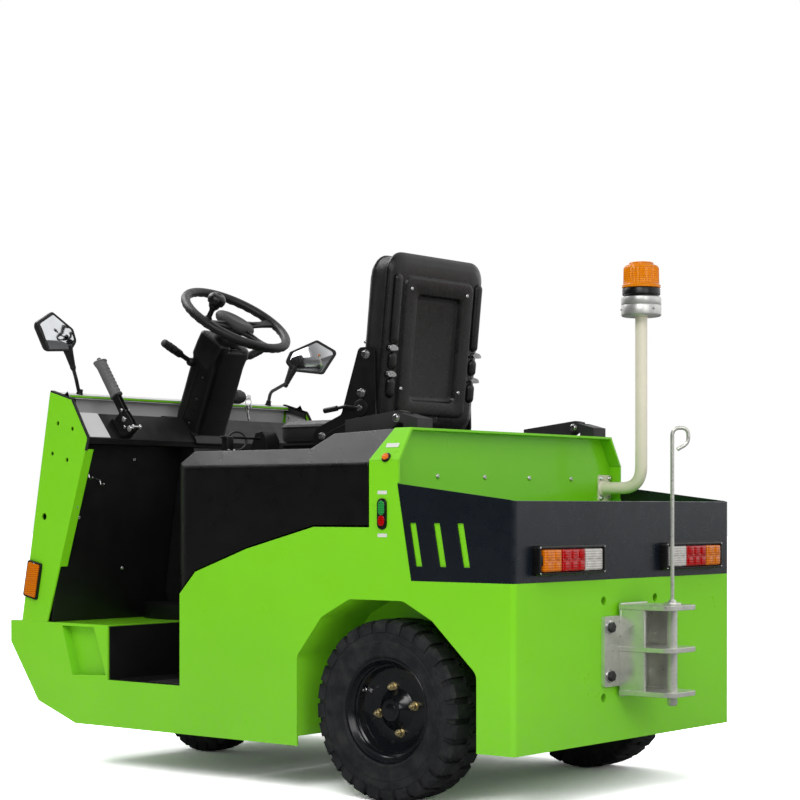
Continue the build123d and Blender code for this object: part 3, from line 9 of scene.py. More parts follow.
import bmesh
import bpy
from mathutils import Matrix, Vector
from mathutils.kdtree import KDTree


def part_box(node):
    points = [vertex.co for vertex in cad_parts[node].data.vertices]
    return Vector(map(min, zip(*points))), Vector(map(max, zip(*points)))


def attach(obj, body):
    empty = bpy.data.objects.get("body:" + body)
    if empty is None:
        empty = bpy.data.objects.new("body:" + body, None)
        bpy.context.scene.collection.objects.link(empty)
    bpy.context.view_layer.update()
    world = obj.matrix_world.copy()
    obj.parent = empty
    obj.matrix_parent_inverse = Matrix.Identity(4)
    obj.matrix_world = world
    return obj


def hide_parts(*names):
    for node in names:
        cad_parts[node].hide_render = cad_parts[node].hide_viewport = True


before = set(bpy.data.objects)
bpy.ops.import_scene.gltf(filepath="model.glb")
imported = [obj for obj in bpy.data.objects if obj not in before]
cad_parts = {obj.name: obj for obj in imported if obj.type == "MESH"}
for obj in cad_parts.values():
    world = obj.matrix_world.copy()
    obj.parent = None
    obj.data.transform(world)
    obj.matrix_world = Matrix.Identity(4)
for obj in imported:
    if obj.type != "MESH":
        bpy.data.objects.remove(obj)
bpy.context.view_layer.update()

log = logging.getLogger("baggage_tug")

Colour = tuple[float, float, float]
Pair = tuple[float, float]
Triple = tuple[float, float, float]

MM = 0.001
AHEAD, ASTERN, LEFTWARD, UPWARD = (1, 0, 0), (-1, 0, 0), (0, 1, 0), (0, 0, 1)
# Stations are counted forward from the rear face of the body
REAR_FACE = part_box("body_shell")[0].x
# The made materials by the names of their finishes, because the record's slots hold some of these names too
LOOKS: dict[str, bpy.types.Material] = {}


class Side(Enum):
    """Side of the machine, by the sign of its Y."""

    LEFT = 1
    RIGHT = -1


def at(station: float, out: float, height: float) -> Vector:
    """Point so many millimetres ahead of the rear face, to the left of the middle and above the floor."""
    return Vector((REAR_FACE + station * MM, out * MM, height * MM))


def placing(origin: Vector, x_dir: Sequence[float], z_dir: Sequence[float]) -> Matrix:
    """Matrix of a local frame.

    Args:
        origin: Where the local frame stands.
        x_dir: Direction of its X axis, which is made square to Z.
        z_dir: Direction of its Z axis.

    Returns:
        The matrix from the local frame to the machine's.
    """
    z_axis = Vector(z_dir).normalized()
    x_axis = Vector(x_dir)
    x_axis = (x_axis - z_axis * x_axis.dot(z_axis)).normalized()
    turn = Matrix((x_axis, z_axis.cross(x_axis), z_axis)).transposed().to_4x4()
    return Matrix.Translation(origin) @ turn


def outward(station: float, out: float, height: float, way: float) -> Matrix:
    """Frame on a flank: X forward, and Z to the left or right by the sign of the way."""
    return placing(at(station, out, height), AHEAD, (0, way, 0))


def rearward(station: float, out: float, height: float) -> Matrix:
    """Frame with X to the left and Z to the rear."""
    return placing(at(station, out, height), LEFTWARD, ASTERN)


def forward(station: float, out: float, height: float) -> Matrix:
    """Frame with X to the left and Z forward."""
    return placing(at(station, out, height), LEFTWARD, AHEAD)


def upward(station: float, out: float, height: float) -> Matrix:
    """Frame for plans: X forward, Y to the left and Z up."""
    return placing(at(station, out, height), AHEAD, UPWARD)


def side_view(out: float = 0.0) -> Matrix:
    """Frame for side outlines: X forward, Y up, and Z to the machine's right."""
    return outward(0, out, 0, -1)


def shifted(where: Matrix, x: float, y: float, z: float = 0.0) -> Matrix:
    """Frame moved along its own axes, in millimetres."""
    return where @ Matrix.Translation(Vector((x, y, z)) * MM)


def swung(where: Matrix, degrees: float, axis: str = "Z") -> Matrix:
    """Frame turned about one of its own axes."""
    return where @ Matrix.Rotation(radians(degrees), 4, axis)


def through(where: Matrix, points: Sequence[Sequence[float]]) -> list[Vector]:
    """Points of a local frame, in millimetres, as points of the machine."""
    return [where @ (Vector(point) * MM) for point in points]


def ring(count: int, radius: float, start: float = 0.0) -> list[Pair]:
    """Points evenly spaced on a circle, the first at a start in degrees."""
    angles = [radians(start) + tau * step / count for step in range(count)]
    return [(radius * cos(angle), radius * sin(angle)) for angle in angles]


def oblong(
    width: float, height: float, radius: float, level: float, centre: Pair = (0, 0), steps: int = 6
) -> list[Triple]:
    """Rounded rectangle at a level, with the same count of points whatever its size.

    Args:
        width: Its size along X.
        height: Its size along Y.
        radius: Radius of its corners.
        level: Its place along Z.
        centre: Its middle.
        steps: Facets in each corner.

    Returns:
        Its points.
    """
    reach = min(radius, width / 2 - 0.01, height / 2 - 0.01)
    points: list[Triple] = []
    for quarter, (sx, sy) in enumerate(((1, 1), (-1, 1), (-1, -1), (1, -1))):
        for step in range(steps + 1):
            turn = pi / 2 * (quarter + step / steps)
            x = centre[0] + sx * (width / 2 - reach) + reach * cos(turn)
            y = centre[1] + sy * (height / 2 - reach) + reach * sin(turn)
            points.append((x, y, level))
    return points


def flat(width: float, height: float, radius: float, centre: Pair = (0, 0)) -> list[Pair]:
    """Rounded rectangle as an outline."""
    return [(x, y) for x, y, _ in oblong(width, height, radius, 0, centre)]


def rounded(outline: Sequence[Pair], radius: float, steps: int = 5) -> list[Pair]:
    """Outline with each corner turned into an arc.

    Args:
        outline: Corners in order.
        radius: Radius of the arcs.
        steps: Facets in each arc.

    Returns:
        The rounded outline.
    """
    nearly_straight = pi / 2 - 0.02
    points: list[Pair] = []
    for index, corner in enumerate(outline):
        here = Vector(corner)
        back = (Vector(outline[index - 1]) - here).normalized()
        ahead = (Vector(outline[(index + 1) % len(outline)]) - here).normalized()
        half = back.angle(ahead) / 2
        if half > nearly_straight:
            points.append((here.x, here.y))
            continue
        reach = radius / abs(sin(half) / cos(half))
        centre = here + (back + ahead).normalized() * (radius / sin(half))
        first = here + back * reach - centre
        last = here + ahead * reach - centre
        turn = first.angle_signed(last)
        for step in range(steps + 1):
            spot = centre + Matrix.Rotation(-turn * step / steps, 2) @ first
            points.append((spot.x, spot.y))
    return points


def bent(path: Sequence[Vector], radius: float, steps: int) -> list[Vector]:
    """Path with its corners turned into arcs.

    Args:
        path: Corners in order.
        radius: Radius of the arcs, in metres.
        steps: Straight pieces in each arc.

    Returns:
        The points of the path.
    """
    points = [path[0]]
    for before, here, after in zip(path, path[1:], path[2:]):
        back = (before - here).normalized()
        ahead = (after - here).normalized()
        half = back.angle(ahead) / 2
        room = 0.49 * min((before - here).length, (after - here).length)
        reach = min(radius / (sin(half) / cos(half)), room)
        start, end = here + back * reach, here + ahead * reach
        for step in range(steps + 1):
            share = step / steps
            points.append(start.lerp(here, share).lerp(here.lerp(end, share), share))
    points.append(path[-1])
    return points


class Shape:
    """A mesh in the making, joined from worked forms; sizes are in millimetres until it is placed."""

    SOFTENED_FROM = radians(25)

    def __init__(self) -> None:
        """Start with nothing."""
        self.mesh = bmesh.new()

    def _take(self, part: bmesh.types.BMesh, where: Matrix | None, layer: int) -> None:
        """Join a finished part to the shape.

        Args:
            part: The part, which is freed.
            where: Its local frame, with the origin in metres.
            layer: Index of its finish.
        """
        bmesh.ops.scale(part, vec=(MM, MM, MM), verts=part.verts)
        if where is not None:
            part.transform(where)
        for face in part.faces:
            face.material_index = layer
        bmesh.ops.recalc_face_normals(part, faces=part.faces)
        holder = bpy.data.meshes.new("part")
        part.to_mesh(holder)
        part.free()
        self.mesh.from_mesh(holder)
        bpy.data.meshes.remove(holder)

    def _soften(self, part: bmesh.types.BMesh, bevel: float, segments: int = 2) -> None:
        """Round the sharp edges of a part.

        Args:
            part: The part to work on.
            bevel: Width of the rounding.
            segments: Facets across the rounding.
        """
        if bevel <= 0:
            return
        shared = [edge for edge in part.edges if len(edge.link_faces) == 2]
        edges = [edge for edge in shared if edge.calc_face_angle() > self.SOFTENED_FROM]
        look = {"offset": bevel, "segments": segments, "profile": 0.5, "clamp_overlap": True}
        bmesh.ops.bevel(part, geom=edges, affect="EDGES", **look)

    def block(
        self,
        size: Triple,
        where: Matrix | None = None,
        bevel: float = 0.0,
        segments: int = 2,
        layer: int = 0,
        shift: Triple = (0, 0, 0),
    ) -> None:
        """Add a bevelled block.

        Args:
            size: Its length along each axis.
            where: Its local frame.
            bevel: Width of the edge rounding.
            segments: Facets across the rounding.
            layer: Index of its finish.
            shift: Its centre in the local frame.
        """
        part = bmesh.new()
        bmesh.ops.create_cube(part, size=1.0)
        bmesh.ops.scale(part, vec=size, verts=part.verts)
        bmesh.ops.translate(part, vec=shift, verts=part.verts)
        self._soften(part, bevel, segments)
        self._take(part, where, layer)

    def loft(
        self,
        loops: Sequence[Sequence[Sequence[float]]],
        where: Matrix | None = None,
        layer: int = 0,
        closed: bool = False,
        bevel: float = 0.0,
        caps: bool = True,
    ) -> None:
        """Add a skin through outlines that have the same count of points.

        Args:
            loops: The outlines, in order; a point that repeats in one is shared.
            where: Their local frame.
            layer: Index of the finish.
            closed: Whether the last outline joins the first.
            bevel: Width of the edge rounding.
            caps: Whether the ends of an open skin are filled.
        """
        part = bmesh.new()
        rings = []
        for loop in loops:
            corners = {tuple(point): part.verts.new(point) for point in dict.fromkeys(map(tuple, loop))}
            rings.append([corners[tuple(point)] for point in loop])
        following = [*rings[1:], rings[0]] if closed else rings[1:]
        for lower, upper in zip(rings, following):
            for index in range(len(lower)):
                after = (index + 1) % len(lower)
                face = dict.fromkeys((lower[index], lower[after], upper[after], upper[index]))
                if len(face) > 2:
                    part.faces.new(tuple(face))
        if caps and not closed:
            part.faces.new(list(dict.fromkeys(reversed(rings[0]))))
            part.faces.new(list(dict.fromkeys(rings[-1])))
        self._soften(part, bevel)
        self._take(part, where, layer)

    def stack(
        self,
        rows: Sequence[tuple[float, float, float, float]],
        where: Matrix,
        layer: int = 0,
        centre: Pair = (0, 0),
        steps: int = 6,
    ) -> None:
        """Add a skin through rounded rectangles, one for each row of width, height, radius and level."""
        self.loft([oblong(*row, centre, steps) for row in rows], where, layer)

    def prism(
        self,
        outline: Sequence[Pair],
        low: float,
        high: float,
        where: Matrix | None = None,
        bevel: float = 0.0,
        layer: int = 0,
        top: float = 1.0,
    ) -> None:
        """Add an outline drawn out along Z between two levels, its top sized by a share."""
        ends = ((1.0, low), (top, high))
        loops = [[(x * size, y * size, level) for x, y in outline] for size, level in ends]
        self.loft(loops, where, layer, bevel=bevel)

    def turned(
        self,
        profile: Sequence[Pair],
        where: Matrix | None = None,
        sides: int = 48,
        layer: int = 0,
        closed: bool = True,
    ) -> None:
        """Add a profile turned about Z.

        Args:
            profile: Pairs of radius and height, in order.
            where: Its local frame.
            sides: Facets round the axis.
            layer: Index of its finish.
            closed: Whether the profile's last point joins its first.
        """
        loops = [[(x, y, height) for x, y in ring(sides, radius)] for radius, height in profile]
        self.loft(loops, where, layer, closed, caps=False)

    def disc(self, radius: float, height: float, where: Matrix, sides: int = 24, layer: int = 0) -> None:
        """Add a plain round disc or pin that stands on the local frame."""
        self.turned(((0, 0), (radius, 0), (radius, height), (0, height)), where, sides, layer)

    def tube(
        self,
        path: Sequence[Vector],
        radius: float,
        sides: int = 14,
        layer: int = 0,
        bend: float = 0.0,
        steps: int = 7,
    ) -> None:
        """Add a round bar along a path in the machine's frame.

        Args:
            path: Its corners, in metres.
            radius: Radius of the bar.
            sides: Facets round the bar.
            layer: Index of its finish.
            bend: Radius of the bends at the corners.
            steps: Facets along each bend.
        """
        line = bent(path, bend * MM, steps) if bend else path
        across = (line[1] - line[0]).orthogonal().normalized()
        loops = []
        for index, point in enumerate(line):
            heading = (line[min(index + 1, len(line) - 1)] - line[max(index - 1, 0)]).normalized()
            across = (across - heading * across.dot(heading)).normalized()
            side = heading.cross(across)
            loops.append([point / MM + across * x + side * y for x, y in ring(sides, radius)])
        self.loft(loops, None, layer)

    def ring_tube(self, path: Sequence[Vector], radius: float, sides: int = 10, layer: int = 0) -> None:
        """Add a round bar along a closed path in the machine's frame.

        Args:
            path: Its points, in metres.
            radius: Radius of the bar.
            sides: Facets round the bar.
            layer: Index of its finish.
        """
        normal = sum(((path[i - 1]).cross(path[i]) for i in range(len(path))), Vector()).normalized()
        loops = []
        for index, point in enumerate(path):
            heading = (path[(index + 1) % len(path)] - path[index - 1]).normalized()
            side = heading.cross(normal).normalized()
            up = side.cross(heading)
            loops.append([point / MM + side * x + up * y for x, y in ring(sides, radius)])
        self.loft(loops, None, layer, closed=True)

    def bolt(
        self,
        where: Matrix,
        across: float,
        head: float,
        washer: float = 0.0,
        layer: int = 0,
        washer_layer: int = 0,
    ) -> None:
        """Add a hexagon head on a washer, its axis along the local Z.

        Args:
            where: Its local frame, on the surface that it holds.
            across: Width across the flats.
            head: Height of the head.
            washer: Radius of the washer, or nothing for none.
            layer: Index of the head's finish.
            washer_layer: Index of the washer's finish.
        """
        seat = 0.14 * across if washer else 0.0
        if washer:
            self.disc(washer, seat, where, 24, washer_layer)
        radius = across / 2 / cos(pi / 6)
        self.prism(ring(6, radius, 12), seat, seat + head * 0.82, where, layer=layer)
        self.prism(ring(6, radius * 0.97, 12), seat + head * 0.82, seat + head, where, layer=layer, top=0.86)

    def screw(self, where: Matrix, radius: float, height: float, layer: int = 0) -> None:
        """Add a domed round head with a socket, its axis along the local Z.

        Args:
            where: Its local frame, on the surface that it holds.
            radius: Radius of the head.
            height: Height of the head.
            layer: Index of its finish.
        """
        # share of the radius, share of the height
        shares = ((1, 0), (0.94, 0.5), (0.7, 0.9), (0.42, 1), (0.36, 0.5), (0, 0.45))
        self.turned([(radius * out, height * up) for out, up in shares], where, 18, layer, closed=False)


def enlist(
    name: str, mesh: bpy.types.Mesh, finishes: Sequence[str], stands_for: str | None, body: str
) -> bpy.types.Object:
    """Make a piece of the machine from a mesh.

    Args:
        name: Name of the piece.
        mesh: Its mesh.
        finishes: Names of its materials, in the order of the mesh's layers.
        stands_for: Construction node that it takes the place of, if any.
        body: Moving body that it rides on.

    Returns:
        The piece.
    """
    for finish in finishes:
        mesh.materials.append(LOOKS[finish])
    mesh.shade_smooth()
    piece = bpy.data.objects.new(name, mesh)
    bpy.context.scene.collection.objects.link(piece)
    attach(piece, body)
    if stands_for:
        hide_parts(stands_for)
    log.info("made %s: %d faces", name, len(mesh.polygons))
    return piece


def add_piece(
    name: str,
    shape: Shape,
    finishes: Sequence[str],
    stands_for: str | None = None,
    sharp: float = 35.0,
    body: str = "root",
) -> None:
    """Make a piece of the machine from a shape.

    Args:
        name: Name of the piece.
        shape: Its mesh, which is freed.
        finishes: Names of its materials, in the order of the shape's layers.
        stands_for: Construction node that it takes the place of, if any.
        sharp: Angle over which an edge stays crisp, in degrees.
        body: Moving body that it rides on.
    """
    mesh = bpy.data.meshes.new(name)
    shape.mesh.to_mesh(mesh)
    shape.mesh.free()
    enlist(name, mesh, finishes, stands_for, body)
    mesh.set_sharp_from_angle(angle=radians(sharp))


def grey(level: float) -> Colour:
    """Grey of that level."""
    return (level, level, level)


class Graph:
    """Nodes of one material, with its main shader at hand."""

    def __init__(self, name: str) -> None:
        """Start a material of that name."""
        self.material = LOOKS[name] = bpy.data.materials.new(name)
        self.material.use_nodes = True
        self.tree = self.material.node_tree
        self.shader = self.tree.nodes["Principled BSDF"]

    def add(self, kind: str, options: dict[str, object] | None = None, **sockets: object) -> bpy.types.Node:
        """Add a node.

        Args:
            kind: Type of the node, without its prefix.
            options: Settings of the node that aren't sockets.
            **sockets: Values or links of its inputs, named as the inputs are, with underscores for blanks.

        Returns:
            The node.
        """
        node = self.tree.nodes.new("ShaderNode" + kind)
        for key, value in (options or {}).items():
            setattr(node, key, value)
        for key, value in sockets.items():
            self.put(node, key.replace("_", " "), value)
        return node

    def put(self, node: bpy.types.Node, socket: str | int, value: object) -> None:
        """Set or link an input.

        Args:
            node: The node.
            socket: Name of its input, or the input's place in the list.
            value: A plain value, or the output that it is linked to.
        """
        if isinstance(socket, int):
            entry = node.inputs[socket]
        else:
            entry = next(item for item in node.inputs if item.name == socket and item.enabled)
        if isinstance(value, bpy.types.NodeSocket):
            self.tree.links.new(value, entry)
        else:
            entry.default_value = value

    def set(self, **sockets: object) -> None:
        """Set or link inputs of the main shader, named as they are, with underscores for blanks."""
        for key, value in sockets.items():
            self.put(self.shader, key.replace("_", " "), value)

    def place(self) -> bpy.types.NodeSocket:
        """Coordinates that stay with the piece."""
        return self.add("TexCoord").outputs["Object"]

    def noise(self, scale: float, detail: float = 2.0, rough: float = 0.5) -> bpy.types.NodeSocket:
        """Cloudy value from 0 to 1, of so many clouds in a metre and so many finer layers."""
        sizes = {"Scale": scale, "Detail": detail, "Roughness": rough}
        return self.add("TexNoise", Vector=self.place(), **sizes).outputs["Fac"]

    def span(
        self, value: bpy.types.NodeSocket, low: float, high: float, start: float = 0.3, end: float = 0.7
    ) -> bpy.types.NodeSocket:
        """Stretch a value to a new range.

        Args:
            value: The value.
            low: Result at the start.
            high: Result at the end.
            start: Where the value starts to count.
            end: Where it stops.

        Returns:
            The stretched value.
        """
        sizes = {"From_Min": start, "From_Max": end, "To_Min": low, "To_Max": high}
        return self.add("MapRange", Value=value, **sizes).outputs["Result"]

    def clouds(
        self, scale: float, detail: float, low: float = 0.0, high: float = 1.0, rough: float = 0.5
    ) -> bpy.types.NodeSocket:
        """Cloudy value between two levels."""
        return self.span(self.noise(scale, detail, rough), low, high)

    def mix(self, share: bpy.types.NodeSocket, first: object, second: Colour) -> bpy.types.NodeSocket:
        """Blend two colours.

        Args:
            share: Share of the second.
            first: First colour, or the output that gives it.
            second: Second colour.

        Returns:
            The blend.
        """
        node = self.add("Mix", {"data_type": "RGBA"})
        self.put(node, 0, share)
        self.put(node, 6, first if isinstance(first, bpy.types.NodeSocket) else (*first, 1))
        self.put(node, 7, (*second, 1))
        return node.outputs[2]

    def relief(self, height: bpy.types.NodeSocket, strength: float, depth: float, edge: float = 0.0) -> None:
        """Give the surface a relief, over edges that look rounded.

        Args:
            height: Height of the relief.
            strength: How strong it is.
            depth: Its depth in metres.
            edge: Radius of the rounded look, in metres.
        """
        bump = self.add("Bump", Height=height, Strength=strength, Distance=depth)
        if edge:
            bevel = self.add("Bevel", {"samples": 4}, Radius=edge)
            self.put(bump, "Normal", bevel.outputs["Normal"])
        self.set(Normal=bump.outputs["Normal"])


@dataclass(frozen=True)
class GlossPaint:
    """Smooth sprayed paint with a faint orange peel and a film of floor dust low down."""

    name: str
    colour: Colour
    shade: Colour
    roughness: float = 0.32
    coat: float = 0.22
    edge: float = 0.0022
    dust: Colour = (0.35, 0.36, 0.28)
    dust_share: float = 0.10

    def make(self) -> None:
        """Make the material."""
        graph = Graph(self.name)
        paint = graph.mix(graph.clouds(2.2, 3.0), self.colour, self.shade)
        height = graph.add("SeparateXYZ", Vector=graph.add("NewGeometry").outputs["Position"]).outputs["Z"]
        speckle = graph.add("Math", {"operation": "MULTIPLY"})
        graph.put(speckle, 0, graph.span(height, self.dust_share, 0.0, 0.12, 0.5))
        graph.put(speckle, 1, graph.clouds(38, 4.0, 0.2, 1.0, 0.65))
        graph.set(Base_Color=graph.mix(speckle.outputs[0], paint, self.dust), Specular_IOR_Level=0.2)
        graph.set(Coat_Weight=self.coat, Coat_Roughness=0.12)
        graph.set(Roughness=graph.clouds(14, 3.0, self.roughness - 0.05, self.roughness + 0.08))
        graph.relief(graph.noise(420, 1.0), 0.10, 0.0004, self.edge)


@dataclass(frozen=True)
class SatinCoat:
    """Powder coat or painted steel with a fine grain."""

    name: str
    colour: Colour
    shade: Colour
    roughness: float = 0.45
    specular: float = 0.4
    grain: float = 900.0
    grain_depth: float = 0.00025
    edge: float = 0.0015

    def make(self) -> None:
        """Make the material."""
        graph = Graph(self.name)
        graph.set(Base_Color=graph.mix(graph.clouds(6.0, 4.0), self.colour, self.shade))
        graph.set(Specular_IOR_Level=self.specular)
        graph.set(Roughness=graph.clouds(30, 4.0, self.roughness - 0.06, self.roughness + 0.1))
        graph.relief(graph.noise(self.grain, 2.0), 0.35, self.grain_depth, self.edge)


@dataclass(frozen=True)
class GrainedSkin:
    """Moulded skin or vinyl with a pebbled grain."""

    name: str
    colour: Colour
    shade: Colour
    roughness: float
    specular: float
    cells: float
    depth: float
    edge: float
    sheen: float = 0.0

    def make(self) -> None:
        """Make the material."""
        graph = Graph(self.name)
        graph.set(Base_Color=graph.mix(graph.clouds(9.0, 4.0), self.colour, self.shade))
        options = {"feature": "DISTANCE_TO_EDGE"}
        pebbles = graph.add("TexVoronoi", options, Vector=graph.place(), Scale=self.cells)
        graph.set(Specular_IOR_Level=self.specular, Sheen_Weight=self.sheen)
        graph.set(Roughness=graph.clouds(22, 3.0, self.roughness - 0.05, self.roughness + 0.1))
        graph.relief(graph.span(pebbles.outputs["Distance"], 0, 1, 0.0, 0.35), 0.30, self.depth, self.edge)


@dataclass(frozen=True)
class Rubber:
    """Tyre rubber with dust in its pores."""

    name: str
    colour: Colour
    dust: Colour
    dust_share: float
    roughness: float = 0.7

    def make(self) -> None:
        """Make the material."""
        graph = Graph(self.name)
        patches = graph.span(graph.noise(24, 5.0, 0.7), 0, self.dust_share, 0.42, 0.75)
        graph.set(Base_Color=graph.mix(patches, self.colour, self.dust), Specular_IOR_Level=0.3)
        graph.set(Roughness=graph.clouds(60, 3.0, self.roughness - 0.12, self.roughness + 0.12))
        graph.relief(graph.noise(700, 3.0, 0.6), 0.4, 0.0005, 0.0012)


@dataclass(frozen=True)
class BareMetal:
    """Plated, cast or machined metal."""

    name: str
    colour: Colour
    shade: Colour
    roughness: float
    metallic: float = 1.0
    grain: float = 260.0
    grain_depth: float = 0.0003
    edge: float = 0.0008

    def make(self) -> None:
        """Make the material."""
        graph = Graph(self.name)
        graph.set(Base_Color=graph.mix(graph.clouds(28, 5.0, rough=0.6), self.colour, self.shade))
        grain = graph.noise(self.grain, 4.0)
        graph.set(Metallic=self.metallic)
        graph.set(Roughness=graph.span(grain, self.roughness - 0.08, self.roughness + 0.12))
        graph.relief(grain, 0.25, self.grain_depth, self.edge)


@dataclass(frozen=True)
class LampPlastic:
    """Clear or dyed lens plastic over a ribbed reflector."""

    name: str
    colour: Colour
    shade: Colour
    pass_through: float = 0.25
    roughness: float = 0.12
    ribs: float = 320.0

    def make(self) -> None:
        """Make the material."""
        graph = Graph(self.name)
        bands = {"Scale": self.ribs / 6.28, "Distortion": 0.2}
        stripe = graph.add("TexWave", {"bands_direction": "Z"}, Vector=graph.place(), **bands).outputs["Fac"]
        graph.set(Base_Color=graph.mix(graph.span(stripe, 0, 1, 0.1, 0.9), self.colour, self.shade))
        graph.set(Transmission_Weight=self.pass_through, IOR=1.38, Coat_Weight=0.1, Coat_Roughness=0.05)
        graph.set(Specular_IOR_Level=0.22)
        graph.set(Roughness=graph.clouds(80, 2.0, self.roughness - 0.03, self.roughness + 0.06))
        graph.relief(stripe, 0.35, 0.0008, 0.001)


@dataclass(frozen=True)
class MirrorGlass:
    """Silvered glass with a trace of dust."""

    name: str
    colour: Colour
    dust: Colour

    def make(self) -> None:
        """Make the material."""
        graph = Graph(self.name)
        graph.set(Base_Color=graph.mix(graph.clouds(40, 4.0, 0, 0.3), self.colour, self.dust))
        graph.set(Metallic=1.0, Roughness=graph.clouds(16, 4.0, 0.02, 0.10))


FINISHES = (
    GlossPaint("leaf_green_paint", (0.188, 0.590, 0.010), (0.170, 0.540, 0.009)),
    GlossPaint("cream_paint", (0.74, 0.69, 0.56), (0.66, 0.62, 0.50), 0.38, 0.3, 0.001, dust_share=0.0),
    SatinCoat("band_paint", (0.003, 0.006, 0.010), (0.005, 0.008, 0.013), 0.28, 0.5),
    SatinCoat("chassis_paint", (0.018, 0.019, 0.020), grey(0.028), 0.5, 0.35),
    SatinCoat("dash_paint", grey(0.004), grey(0.008), 0.38, 0.35),
    SatinCoat("wheel_paint", (0.002, 0.003, 0.004), (0.005, 0.006, 0.008), 0.2, 0.5, 200.0, 0.0001, 0.0012),
    SatinCoat("liner_grey", grey(0.62), grey(0.54), 0.42, 0.45, 400.0, 0.0001),
    SatinCoat("blank_label", (0.62, 0.63, 0.58), (0.54, 0.55, 0.50), 0.45, 0.4, 300.0, 0.00005, 0.0004),
    GrainedSkin("hood_skin", grey(0.0015), grey(0.003), 0.30, 0.50, 700.0, 0.0003, 0.0025),
    GrainedSkin("column_skin", grey(0.0015), grey(0.003), 0.32, 0.40, 800.0, 0.0003, 0.003),
    GrainedSkin("seat_vinyl", grey(0.006), grey(0.012), 0.36, 0.4, 480.0, 0.0006, 0.0, 0.1),
    GrainedSkin("moulding", grey(0.003), grey(0.006), 0.26, 0.40, 900.0, 0.0002, 0.003),
    GrainedSkin("grip_plastic", grey(0.005), grey(0.010), 0.4, 0.4, 1400.0, 0.0002, 0.001),
    GrainedSkin("grey_grip", grey(0.14), grey(0.09), 0.5, 0.4, 1400.0, 0.0002, 0.001),
    GrainedSkin("pad_skin", (0.030, 0.030, 0.031), (0.045, 0.045, 0.046), 0.5, 0.45, 1100.0, 0.0003, 0.001),
    Rubber("tyre_rubber", (0.009, 0.010, 0.012), (0.045, 0.045, 0.043), 0.45),
    Rubber("pad_rubber", grey(0.016), (0.05, 0.05, 0.048), 0.3),
    BareMetal("zinc_plate", (0.74, 0.74, 0.68), (0.62, 0.64, 0.58), 0.34, 0.80, 160.0, 0.00006),
    BareMetal("yellow_zinc", (0.70, 0.58, 0.30), (0.55, 0.47, 0.28), 0.34, 0.9),
    BareMetal("cast_alloy", (0.74, 0.74, 0.72), (0.60, 0.60, 0.58), 0.38, 0.85, 500.0),
    BareMetal("bright_steel", grey(0.70), grey(0.56), 0.25),
    BareMetal("black_bolt", (0.035, 0.036, 0.038), grey(0.06), 0.42, 0.7),
    BareMetal("cast_iron", grey(0.06), (0.10, 0.095, 0.09), 0.6, 0.6, 300.0, 0.0008),
    LampPlastic("amber_lens", (0.92, 0.30, 0.004), (0.72, 0.18, 0.002)),
    LampPlastic("amber_lamp", (0.62, 0.17, 0.002), (0.42, 0.09, 0.001), 0.05),
    LampPlastic("red_lamp", (0.42, 0.001, 0.001), (0.26, 0.0005, 0.0005), 0.05),
    LampPlastic("clear_lamp", (0.62, 0.60, 0.57), (0.40, 0.38, 0.36), 0.15),
    LampPlastic("button_orange", (0.75, 0.16, 0.01), (0.6, 0.12, 0.01), 0.05, 0.2),
    LampPlastic("light_green", (0.02, 0.28, 0.05), (0.01, 0.18, 0.03), 0.1, 0.15),
    LampPlastic("lamp_glass", (0.92, 0.93, 0.94), (0.80, 0.81, 0.82), 0.95, 0.04),
    MirrorGlass("mirror_glass", (0.78, 0.80, 0.82), (0.5, 0.51, 0.52)),
)


@dataclass
class Bodywork:
    """Finishes of the construction nodes that show as they are, each with its nodes."""

    coats: tuple[tuple[str, tuple[str, ...]], ...] = (
        ("leaf_green_paint", ("body_shell", "wheel_housings", "upper_body", "deck_tray", "nose", "cowl")),
        ("band_paint", ("band",)),
        ("chassis_paint", ("frame_rails", "battery", "drive_motor", "fork")),
        ("chassis_paint", ("hinge_blocks", "hinge_arms", "seat_base")),
        ("cast_iron", ("rear_axle",)),
        ("dash_paint", ("hump", "floor_plate", "bulkhead", "dash", "pedestal")),
        ("hood_skin", ("hood",)),
    )

    def build(self) -> None:
        """Dress the nodes."""
        for finish, nodes in self.coats:
            for node in nodes:
                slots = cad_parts[node].data.materials
                slots.clear()
                slots.append(LOOKS[finish])
                log.info("dressed %s in %s", node, finish)


